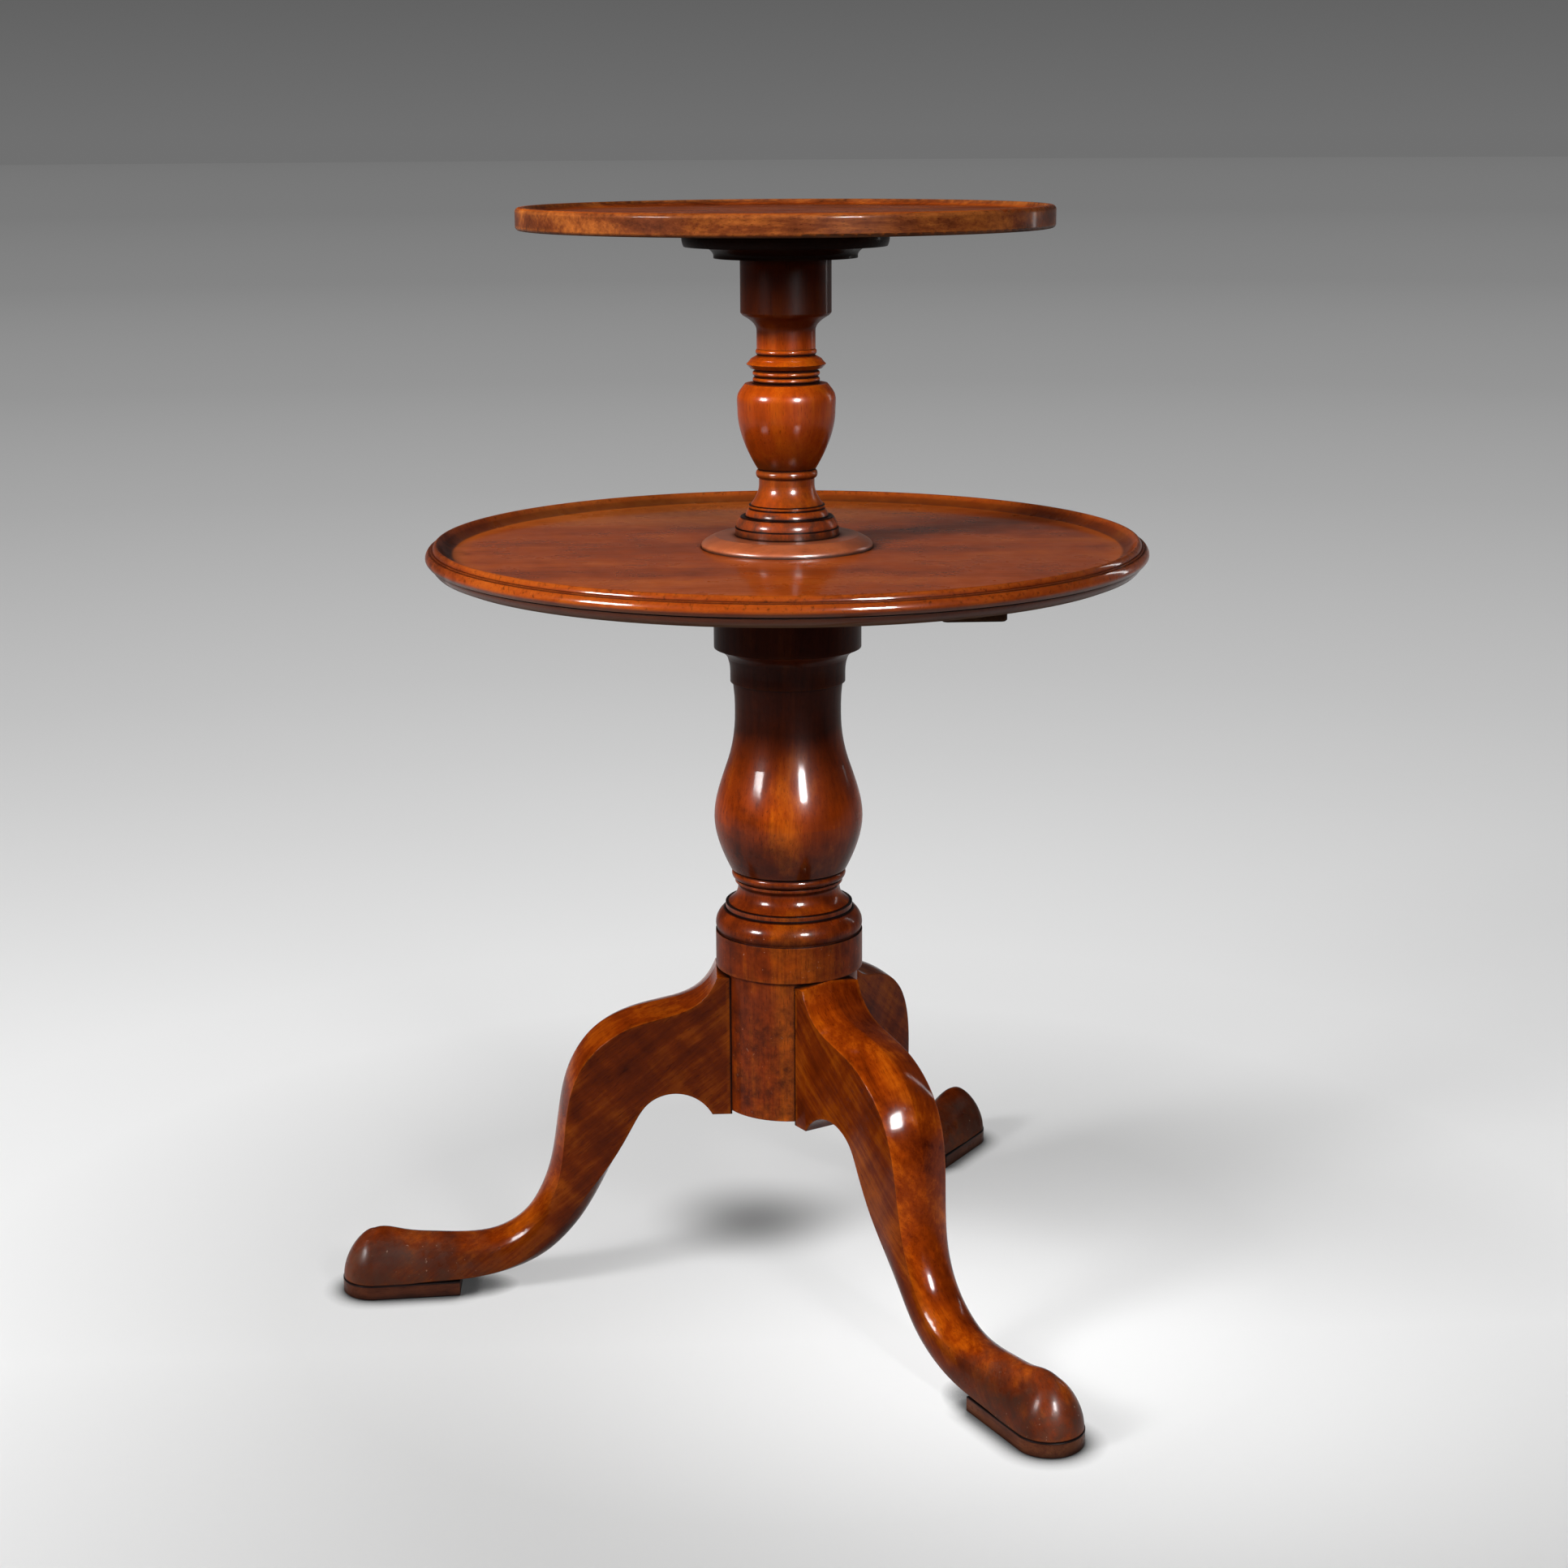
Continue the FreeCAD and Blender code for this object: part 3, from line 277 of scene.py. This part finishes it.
class Graph:
    """Nodes of a material or world, built by calls: each adds a node and gives back its output."""

    def __init__(self, owner):
        owner.use_nodes = True
        self.owner = owner
        self.tree = owner.node_tree
        self.shader = next(n for n in self.tree.nodes if n.type in ("BSDF_PRINCIPLED", "BACKGROUND"))

    def node(self, kind, **settings):
        made = self.tree.nodes.new("ShaderNode" + kind)
        for key, value in settings.items():
            setattr(made, key, value)
        return made

    def put(self, socket, value):
        if isinstance(value, bpy.types.NodeSocket):
            self.tree.links.new(value, socket)
        else:
            socket.default_value = value

    def shade(self, socket, value):
        """Give one of the shader's own sockets its value."""
        self.put(self.shader.inputs[socket], value)

    def maths(self, operation, first, second=0.0, clamp=False):
        made = self.node("Math", operation=operation, use_clamp=clamp)
        self.put(made.inputs[0], first)
        self.put(made.inputs[1], second)
        return made.outputs[0]

    def times(self, first, second):
        return self.maths("MULTIPLY", first, second)

    def rest(self, share):
        """What a share leaves of 1."""
        return self.maths("SUBTRACT", 1.0, share)

    def larger(self, first, second):
        return self.maths("MAXIMUM", first, second)

    def vector(self, operation, first, second):
        made = self.node("VectorMath", operation=operation)
        self.put(made.inputs[0], first)
        self.put(made.inputs[1], second)
        return made.outputs["Value" if operation in ("LENGTH", "DOT_PRODUCT") else "Vector"]

    def length(self, vector):
        return self.vector("LENGTH", vector, (0, 0, 0))

    def distance(self, vector, point):
        return self.length(self.vector("SUBTRACT", vector, point))

    def from_axis(self, vector):
        return self.length(self.vector("MULTIPLY", vector, (1, 1, 0)))

    def stretched(self, vector, along, across):
        return self.vector("MULTIPLY", vector, (along, across, across))

    def noise(self, vector, scale, detail, roughness, output="Fac"):
        made = self.node("TexNoise")
        self.put(made.inputs["Vector"], vector)
        self.put(made.inputs["Scale"], scale)
        self.put(made.inputs["Detail"], detail)
        self.put(made.inputs["Roughness"], roughness)
        return made.outputs[output]

    def span(self, value, low, high, to_low=0.0, to_high=1.0):
        made = self.node("MapRange", clamp=True)
        for name, number in zip(("Value", "From Min", "From Max", "To Min", "To Max"),
                                (value, low, high, to_low, to_high)):
            self.put(made.inputs[name], number)
        return made.outputs[0]

    def smooth(self, value, low, high, to_low, to_high):
        made = self.span(value, low, high, to_low, to_high)
        made.node.interpolation_type = "SMOOTHSTEP"
        return made

    def steps(self, value, levels):
        """Straight runs between (value, level) pairs."""
        total = levels[0][1]
        for (low, first), (high, second) in zip(levels, levels[1:]):
            total = self.maths("ADD", total, self.span(value, low, high, 0.0, second - first))
        return total

    def ramp(self, value, tones):
        made = self.node("ValToRGB")
        elements = made.color_ramp.elements
        while len(elements) < len(tones):
            elements.new(0.5)
        for i, (element, tone) in enumerate(zip(elements, tones)):
            element.position = i / (len(tones) - 1)
            element.color = (*tone, 1.0)
        self.put(made.inputs[0], value)
        return made.outputs[0]

    def mix(self, share, first, second):
        made = self.node("Mix", data_type="RGBA")
        self.put(made.inputs["Factor"], share)
        for socket, value in ((made.inputs[6], first), (made.inputs[7], second)):
            self.put(socket, value if isinstance(value, bpy.types.NodeSocket) else (*value, 1.0))
        return made.outputs[2]

    def split(self, vector):
        made = self.node("SeparateXYZ")
        self.put(made.inputs[0], vector)
        return made.outputs

    def join(self, x, y, z):
        made = self.node("CombineXYZ")
        for socket, value in zip(made.inputs, (x, y, z)):
            self.put(socket, value)
        return made.outputs[0]

    def grey(self, level):
        return self.join(level, level, level)

    def occlusion(self, reach, samples=OCCLUSION_SAMPLES, inside=False):
        """How open a place is: 1 in the open, 0 closed in."""
        made = self.node("AmbientOcclusion", samples=samples, inside=inside)
        made.inputs["Distance"].default_value = reach
        return made.outputs["AO"]

    def bump(self, height, relief, strength):
        """Relief on the surface, and eased edges."""
        eased = self.node("Bevel", samples=BEVEL_SAMPLES)
        eased.inputs["Radius"].default_value = ARRIS_RADIUS
        made = self.node("Bump")
        self.put(made.inputs["Normal"], eased.outputs[0])
        self.put(made.inputs["Height"], height)
        self.put(made.inputs["Distance"], relief)
        self.put(made.inputs["Strength"], strength)
        self.shade("Normal", made.outputs[0])


class Wood(Graph):
    """Polished mahogany, laid on step by step.

    Places are spot, in the frame, wood, along the grain, and wavy, that with the grain's wander.
    The steps change colour, tone (the figure from dark to light), dulled (where the polish is gone),
    grime (the wax in the hollows) and shade_and_dark_marks (where the wood is darkened to near black:
    painted shade, with dark lines, seams and specks).
    """

    def __init__(self, name, tones, grain, seed):
        super().__init__(bpy.data.materials.new(name))
        self.tones = tones
        coordinates = self.node("TexCoord")
        self.spot = coordinates.outputs["Object"]
        self.normal = coordinates.outputs["Normal"]
        self.height = self.split(self.spot)[2]
        self.normal_up = self.split(self.normal)[2]
        self.shift = [part * seed for part in SEED_SHIFT]
        mapping = self.node("Mapping")
        self.put(mapping.inputs["Vector"], self.spot)
        mapping.inputs["Rotation"].default_value = grain_turn(grain)
        mapping.inputs["Location"].default_value = self.shift
        self.wood = mapping.outputs[0]
        sway = self.noise(self.stretched(self.wood, *SWAY), *SWAY_NOISE, output="Color")
        self.wavy = self.vector("ADD", self.wood, self.vector("MULTIPLY", sway, SWAY_REACH))
        self.dulled = 0.0
        # painted shade on the faces that look down
        self.shade_and_dark_marks = self.span(self.normal_up, *DOWN_FACING, DOWN_SHADE, 0.0)

    def cover(self, share, tone):
        self.colour = self.mix(share, self.colour, tone)

    def darken(self, share):
        self.shade_and_dark_marks = self.larger(self.shade_and_dark_marks, share)

    def dull(self, share):
        self.dulled = self.larger(self.dulled, share)

    def draw_figure(self, heart, contrast, curl):
        """Rings round the tree's heart, fibres, clouds, mottle, and bars across the grain."""
        x, y, z = self.split(self.wavy)
        ring = self.length(self.join(0.0, self.maths("ADD", y, heart[0] - self.shift[1]),
                                     self.maths("ADD", z, heart[1] - self.shift[2])))
        along, across = RINGS
        rings = self.join(self.times(ring, across), self.times(x, along), 0.0)
        bars = self.noise(self.stretched(self.wavy, *BARS), *BAR_NOISE)
        total = self.times(self.maths("SUBTRACT", bars, NOISE_MIDDLE), curl)
        for where, (share, noise) in ((rings, RING_LAYER),
                                      (self.stretched(self.wavy, *FIBRES), FIBRE_LAYER),
                                      (self.stretched(self.wood, *CLOUDS), CLOUD_LAYER),
                                      (self.wood, MOTTLE_LAYER)):
            layer = self.maths("SUBTRACT", self.noise(where, *noise), NOISE_MIDDLE)
            total = self.maths("ADD", total, self.times(layer, share * contrast))
        self.tone = self.maths("ADD", total, NOISE_MIDDLE, clamp=True)
        self.colour = self.ramp(self.tone, self.tones)

    def change_top(self, tones):
        self.cover(self.span(self.normal_up, *UP_FACING), self.ramp(self.tone, tones))

    def blotch(self, share):
        self.blotches = self.noise(self.wood, *BLOTCH_NOISE)
        self.cover(self.times(self.span(self.blotches, *BLOTCH_RANGE), share), self.tones[0])

    # lighter arrises: wear, and a painted highlight along the edges
    def lighten_arrises(self, share):
        arris = self.occlusion(ARRIS_REACH, ARRIS_SAMPLES, inside=True)
        uneven = self.span(self.noise(self.wood, *ARRIS_NOISE), *ARRIS_RANGE)
        self.cover(self.times(self.span(arris, *ARRIS_OPENNESS, share, 0.0), uneven), self.tones[-1])

    def open_pores(self, share):
        pores = self.noise(self.stretched(self.wavy, *PORES), *PORE_NOISE)
        self.pores = self.span(pores, *PORE_RANGE)
        self.cover(self.times(self.pores, share), WAX_AND_SHADE)

    def lay_marks(self, marks):
        ragged = self.noise(self.spot, *MARK_FRAY_NOISE, output="Color")
        ragged = self.vector("MULTIPLY", self.vector("SUBTRACT", ragged, (NOISE_MIDDLE,) * 3),
                             (MARK_FRAY_REACH,) * 3)
        frayed = self.vector("ADD", self.spot, ragged)
        for centre, half_sizes, tone, strength, dulling in marks:
            gap = self.vector("DIVIDE", self.vector("SUBTRACT", frayed, centre), half_sizes)
            inside = self.span(self.length(gap), *MARK_EDGE, 1.0, 0.0)
            uneven = self.span(self.noise(self.spot, *MARK_NOISE), *MARK_RANGE,
                               strength * MARK_WEAKEST, min(1.0, strength * MARK_STRONGEST))
            self.cover(self.times(inside, uneven), tone)
            self.dull(self.times(inside, dulling))
        flecks = self.span(self.noise(self.spot, *FLECK_NOISE), *FLECK_RANGE)
        self.cover(self.times(self.times(flecks, self.dulled), FLECK_SHARE), FLECK)

    def fill_hollows(self):
        hollow = self.span(self.occlusion(HOLLOW_REACH), *HOLLOW_OPENNESS, 1.0, 0.0)
        crevice = self.span(self.occlusion(CREVICE_REACH), *CREVICE_OPENNESS, 1.0, 0.0)
        self.grime = self.larger(hollow, crevice)
        self.cover(self.times(self.grime, GRIME_SHARE), WAX_AND_SHADE)

    # painted shadow of the tray above: darker and duller from one height upwards
    def paint_tray_shadow(self, low, high, share):
        height = self.maths("ADD", self.height, self.times(self.blotches, TRAY_SHADOW_WANDER))
        tray_shadow = self.span(height, low, high, 0.0, share)
        self.darken(tray_shadow)
        self.dull(self.times(tray_shadow, TRAY_SHADOW_DULLING))

    def darken_rim(self, start):
        """A painted reflection in a bright strip, then painted shade on the inner wall, the darker
        crest with its specks, and painted shade on the skirt below the nose.
        """
        radius = self.from_axis(self.spot)
        beyond = self.span(radius, start, start + RIM_BLEND)
        moulded = self.span(radius, start + RIM_WALL, start + RIM_WALL + RIM_BLEND)
        painted_glow = self.span(radius, start - RIM_PAINTED_GLOW, start, 0.0, RIM_PAINTED_GLOW_SHARE)
        self.cover(self.times(painted_glow, self.rest(beyond)), self.tones[-1])
        self.cover(self.times(moulded, CREST_SHARE), self.tones[0])
        self.darken(self.times(self.times(beyond, RIM_SHADE), self.rest(moulded)))
        specks = self.span(self.noise(self.spot, *SPECK_NOISE), *SPECK_RANGE, 0.0, SPECK_SHADE)
        skirt_shade = self.span(self.height, SKIRT_TOP, SKIRT_TOP + SKIRT_BLEND, SKIRT_SHADE, 0.0)
        for share in (specks, skirt_shade):
            self.darken(self.times(share, beyond))

    def darken_flanks(self, across, share):
        facing = self.maths("ABSOLUTE", self.vector("DOT_PRODUCT", self.normal, across))
        self.darken(self.span(facing, *FLANK_FACING, 0.0, share))

    def glue(self, seam):
        self.darken(self.span(self.from_axis(self.spot), seam + SEAM_WIDTH / 2, seam + SEAM_WIDTH,
                              LINE_SHADE, 0.0))

    def draw_line(self, level, half_width):
        off_line = self.maths("ABSOLUTE", self.maths("SUBTRACT", self.height, level))
        self.darken(self.span(off_line, half_width / 2, half_width, LINE_SHADE, 0.0))

    def polish(self, rubbed_to, coat, coat_rough, sheen, raw_below):
        low, high = SMUDGE_SPREAD
        rough = self.span(self.noise(self.wood, *SMUDGE_NOISE), *SMUDGE_RANGE,
                          rubbed_to * low, rubbed_to * high)
        rough = self.maths("ADD", rough, self.times(self.grime, GRIME_ROUGHNESS))
        rough = self.mix(self.dulled, self.grey(rough), (DULL_ROUGHNESS,) * 3)
        coated = self.times(self.rest(self.larger(self.grime, self.dulled)), coat)
        if raw_below:
            down = self.span(self.normal_up, *RAW_FACING, 1.0, 0.0)
            self.cover(down, self.ramp(self.tone, RAW_TONES))
            rough = self.maths("ADD", rough, self.times(down, RAW_ROUGHNESS))
            coated = self.times(coated, self.rest(down))
        for socket, value in (("Base Color", self.colour), ("Roughness", rough),
                              ("Specular IOR Level", sheen), ("Coat Weight", coated),
                              ("Coat Roughness", coat_rough)):
            self.shade(socket, value)
        ripple = self.noise(self.wood, *RIPPLE_NOISE)
        self.bump(self.maths("SUBTRACT", ripple, self.times(self.pores, PORE_DEPTH)), RIPPLE_RELIEF,
                  RIPPLE_STRENGTH)


def place(name, data):
    """New object in the scene that shows a mesh, a light or a camera."""
    made = bpy.data.objects.new(name, data)
    bpy.context.scene.collection.objects.link(made)
    return made


def grain_turn(grain):
    """Euler turn that brings a grain direction to the texture's X axis."""
    along = Vector(grain).normalized()
    side = along.orthogonal().normalized()
    return Matrix((along, side, along.cross(side))).to_euler()


def direction(azimuth, elevation=0.0):
    """Unit vector at an azimuth from +X and an elevation, both in radians."""
    level = math.cos(elevation)
    return Vector((math.cos(azimuth) * level, math.sin(azimuth) * level, math.sin(elevation)))


def darkened(tones, share):
    return [tuple(part * share for part in tone) for tone in tones]


def mahogany(name, tones, grain=ALONG, seed=0.0, heart=(0.05, 0.11), contrast=0.85, curl=0.0,
             coat=0.11, coat_rough=POLISH_COAT_ROUGHNESS, sheen=POLISH_SHEEN,
             rubbed_to=RUBBED_ROUGHNESS, blotches=0.5, pores=0.45, wear_and_highlight=0.0, raw_below=False,
             top_share=None, marks=(), tray_shadow=None, rim=None, flank=None, seam=None, lines=()):
    """Polished mahogany: rings and fibres along the grain, pores, patina and wax in the hollows.

    heart is where the tree's heart lies beside the piece, across the grain.
    curl is the strength of the fiddleback bars across the grain.
    coat is the share of the surroundings that the polish mirrors, sheen the wood's own gloss.
    wear_and_highlight is how far the arrises are lightened to the lightest tone, for wear and as a
    painted highlight.
    raw_below leaves the faces that look down unpolished.
    top_share gives the faces that look up the tray's tones, darkened to that share.
    marks are patches of another tone: stains, dirt, and painted light.
    tray_shadow holds (height, height, share): painted shadow of the tray above, which darkens the wood
    and dulls its polish from one height to the other.
    rim is the radius beyond which the polish is darker, with painted shade on the inner wall and the
    skirt, and a painted reflection just inside it.
    flank holds (direction, share): faces that look that way, or against it, are darker.
    seam is the radius up to which the old glue shows as a dark line.
    lines are dark lines round the piece, in its grooves.
    """
    wood = Wood(name, tones, grain, seed)
    wood.draw_figure(heart, contrast, curl)
    if top_share:
        wood.change_top(darkened(TRAY_TONES, top_share))
    wood.blotch(blotches)
    if wear_and_highlight:
        wood.lighten_arrises(wear_and_highlight)
    wood.open_pores(pores)
    wood.lay_marks(marks)
    wood.fill_hollows()
    if tray_shadow:
        wood.paint_tray_shadow(*tray_shadow)
    if rim:
        wood.darken_rim(rim)
    if flank:
        wood.darken_flanks(*flank)
    if seam:
        wood.glue(seam)
    for level, half_width in lines:
        wood.draw_line(level, half_width)
    wood.cover(wood.shade_and_dark_marks, WAX_AND_SHADE)
    wood.polish(rubbed_to, coat, coat_rough, sheen, raw_below)
    return wood.owner


def aged_iron(name):
    g = Graph(bpy.data.materials.new(name))
    rust = g.noise(g.node("TexCoord").outputs["Object"], *RUST_NOISE)
    g.shade("Base Color", g.ramp(rust, IRON_TONES))
    g.shade("Roughness", g.span(rust, *RUST_RANGE, *RUST_ROUGHNESS))
    g.shade("Metallic", IRON_METALLIC)
    g.bump(rust, RUST_RELIEF, RUST_STRENGTH)
    return g.owner


class Section:
    """Half outline of a turned piece, drawn from its foot to its top."""

    def __init__(self, radius, height):
        self.points = [(radius, height)]

    def to(self, radius, rise=0.0):
        self.points.append((radius, self.points[-1][1] + rise))

    def curve(self, first, second, end):
        """Cubic curve from here, pulled by two poles, to the end."""
        start = self.points[-1]
        for step in range(1, CURVE_STEPS + 1):
            t = step / CURVE_STEPS
            shares = ((1 - t) ** 3, 3 * t * (1 - t) ** 2, 3 * t * t * (1 - t), t ** 3)
            self.points.append(tuple(sum(share * pole[axis] for share, pole
                                         in zip(shares, (start, first, second, end)))
                                     for axis in (0, 1)))

    def sweep(self, radius, rise, lean_from=0.0, lean_to=0.0):
        """Smooth curve with the outline's lean at both of its ends."""
        x, z = self.points[-1]
        third = rise / 3
        self.curve((x + lean_from * third, z + third), (radius - lean_to * third, z + 2 * third),
                   (radius, z + rise))

    def arc(self, middle, end):
        """Round curve from here through a middle point to the end."""
        start = self.points[-1]
        pull = [(4 * m - s - e) / 3 for s, m, e in zip(start, middle, end)]
        self.curve(tuple(s / 3 + p for s, p in zip(start, pull)),
                   tuple(e / 3 + p for e, p in zip(end, pull)), end)

    def turned(self, name, underside):
        """Object with the outline turned about Z, its foot at a height in metres."""
        turn = 2 * math.pi / TURN_SIDES
        count = len(self.points)
        vertices = [(radius * MM * math.cos(side * turn), radius * MM * math.sin(side * turn),
                     underside + height * MM)
                    for side in range(TURN_SIDES) for radius, height in self.points]
        faces = []
        for side in range(TURN_SIDES):
            here, there = side * count, (side + 1) % TURN_SIDES * count
            for i in range(count):
                after = (i + 1) % count
                faces.append((here + i, there + i, there + after, here + after))
        mesh = bpy.data.meshes.new(name)
        mesh.from_pydata(vertices, [], faces)
        mesh.shade_smooth()
        mesh.set_sharp_from_angle(angle=SHARP_ANGLE)
        return place(name, mesh)


def turn_lower_tray():
    """The dished board with its moulded rim, in place of the CAD node of the same shape."""
    outline = Section(TRAY_BORE, 0.0)
    outline.to(TRAY_RADIUS - TRAY_UNDERCUT)
    inset, rise = TRAY_BEVEL
    outline.to(TRAY_RADIUS - inset, rise)
    inset, rise, lean = TRAY_SKIRT
    outline.sweep(TRAY_RADIUS - inset, rise, lean)
    depth, height = TRAY_QUIRK
    outline.to(TRAY_RADIUS - inset - depth)
    outline.to(TRAY_RADIUS - inset - depth, height)
    outline.to(TRAY_RADIUS - TRAY_NOSE_FOOT)
    rise, lean = TRAY_NOSE
    outline.sweep(TRAY_RADIUS, rise, lean)
    inset, rise, lean = TRAY_NOSE_TOP
    outline.sweep(TRAY_RADIUS - inset, rise, 0.0, lean)
    for inset, rise in (TRAY_FILLET, TRAY_RIDGE):
        outline.to(TRAY_RADIUS - inset)
        outline.to(TRAY_RADIUS - inset, rise)
    crest = TRAY_THICKNESS + TRAY_RIM_HEIGHT
    inset, drop = TRAY_WALL
    wall_top = (TRAY_RADIUS - inset, crest - drop)
    wall_foot = (TRAY_RADIUS - TRAY_RIM_WIDTH, TRAY_THICKNESS)
    wall_middle = ((wall_top[0] + wall_foot[0]) / 2, (wall_top[1] + wall_foot[1]) / 2 - TRAY_WALL_SAG)
    outline.arc((TRAY_RADIUS - TRAY_CREST_INSET, crest), wall_top)
    outline.arc(wall_middle, wall_foot)
    outline.to(TRAY_HOUSING_RADIUS)
    outline.to(TRAY_HOUSING_RADIUS, -TRAY_HOUSING_DEPTH)
    outline.to(TRAY_BORE)
    low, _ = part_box("lower_tray")
    tray = outline.turned("turned_tray", low[2])
    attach(tray, "lower_shelf")
    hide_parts("lower_tray")
    return tray


def dress(piece, material):
    slots = piece.data.materials
    slots.clear()
    slots.append(material)


def dress_table():
    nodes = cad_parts
    for node, finish in FINISHES.items():
        dress(nodes[node], mahogany(**finish))
    dress(turn_lower_tray(), mahogany(**TRAY_FINISH))
    for side, (azimuth, seed, tone_share, flank_share, coat, sheen) in LEGS.items():
        turn = math.radians(azimuth)
        outwards, across = direction(turn), direction(turn + math.pi / 2)
        dress(nodes[side + "_leg"], mahogany(
            side + "_leg_mahogany", darkened(LEG_TONES, tone_share), direction(turn, LEG_GRAIN_FALL),
            seed, coat=coat, sheen=sheen, marks=((outwards * TOE_REACH, *TOE_MARK),),
            flank=(across, flank_share), **LEG_FINISH))
        dress(nodes[side + "_shoe"], mahogany(
            side + "_shoe_mahogany", grain=outwards, seed=seed + SHOE_SEED_STEP, **SHOE_FINISH))
    iron = aged_iron("aged_iron")
    for node in SCREWS:
        dress(nodes[node], iron)


def make_camera():
    data = bpy.data.cameras.new("camera")
    data.lens = CAMERA_LENS
    data.sensor_width = SENSOR_WIDTH
    camera = place("camera", data)
    turn = (Matrix.Rotation(CAMERA_HEADING, 4, "Z")
            @ Matrix.Rotation(math.pi / 2 - CAMERA_PITCH, 4, "X")
            @ Matrix.Rotation(CAMERA_ROLL, 4, "Z"))
    camera.matrix_world = Matrix.Translation(CAMERA_PLACE) @ turn
    bpy.context.scene.camera = camera


def paint_floor():
    """Pale and matt, glowing brightest round the table, with painted shadow close to the feet and
    painted shade under the table.
    """
    g = Graph(bpy.data.materials.new("studio_floor"))
    spot = g.node("TexCoord").outputs["Object"]
    depth = g.split(spot)[1]
    # painted contact shadow round the feet and painted shade under the table
    open_sky = g.span(g.occlusion(CONTACT_REACH), *CONTACT_OPENNESS, CONTACT_LIGHT, 1.0)
    open_sky = g.times(open_sky, g.smooth(g.distance(spot, UNDER_TABLE), 0.0, UNDER_TABLE_REACH,
                                          UNDER_TABLE_LIGHT, 1.0))
    pool = g.smooth(g.distance(spot, POOL), 0.0, POOL_REACH, POOL_LIGHT, 0.0)
    glow = g.maths("ADD", g.steps(g.length(spot), FLOOR_GLOW), pool)
    glow = g.maths("ADD", glow, g.span(depth, *FRONT_FALL, 0.0))
    glow = g.times(glow, g.span(depth, *GLOW_START, FRONT_GLOW, 1.0))
    g.shade("Base Color", g.grey(g.times(open_sky, FLOOR_ALBEDO)))
    g.shade("Roughness", FLOOR_ROUGHNESS)
    g.shade("Specular IOR Level", 0.0)
    g.shade("Emission Color", (1.0, 1.0, 1.0, 1.0))
    g.shade("Emission Strength", g.times(glow, open_sky))
    return g.owner


def make_floor():
    mesh = bpy.data.meshes.new("floor")
    turn = 2 * math.pi / FLOOR_SIDES
    rim = [direction(i * turn) * FLOOR_RADIUS for i in range(FLOOR_SIDES)]
    mesh.from_pydata(rim, [], [range(FLOOR_SIDES)])
    mesh.materials.append(paint_floor())
    place("floor", mesh)


def make_sky():
    world = bpy.data.worlds.new("studio")
    bpy.context.scene.world = world
    g = Graph(world)
    _, away, height = g.split(g.node("TexCoord").outputs["Generated"])
    level = g.times(g.steps(height, SKY), g.span(away, *SKY_TURN, SKY_IN_FRONT, 1.0))
    g.shade("Color", g.grey(level))


def make_softboxes():
    for name, (azimuth, elevation, distance, width, height, watts, role) in SOFTBOXES.items():
        data = bpy.data.lights.new(name, "AREA")
        data.shape = "RECTANGLE"
        data.size = width
        data.size_y = height
        data.energy = watts
        light = place(name, data)
        away = direction(math.radians(azimuth) - CAMERA_HEADING - math.pi / 2, math.radians(elevation))
        light.location = TARGET + away * distance
        light.rotation_mode = "QUATERNION"
        light.rotation_quaternion = (-away).to_track_quat("-Z", "Y")
        light.visible_glossy = role == "glint"
        light.visible_diffuse = role == "wash"


bpy.context.scene.view_settings.view_transform = "Standard"
make_camera()
make_floor()
make_sky()
make_softboxes()
dress_table()
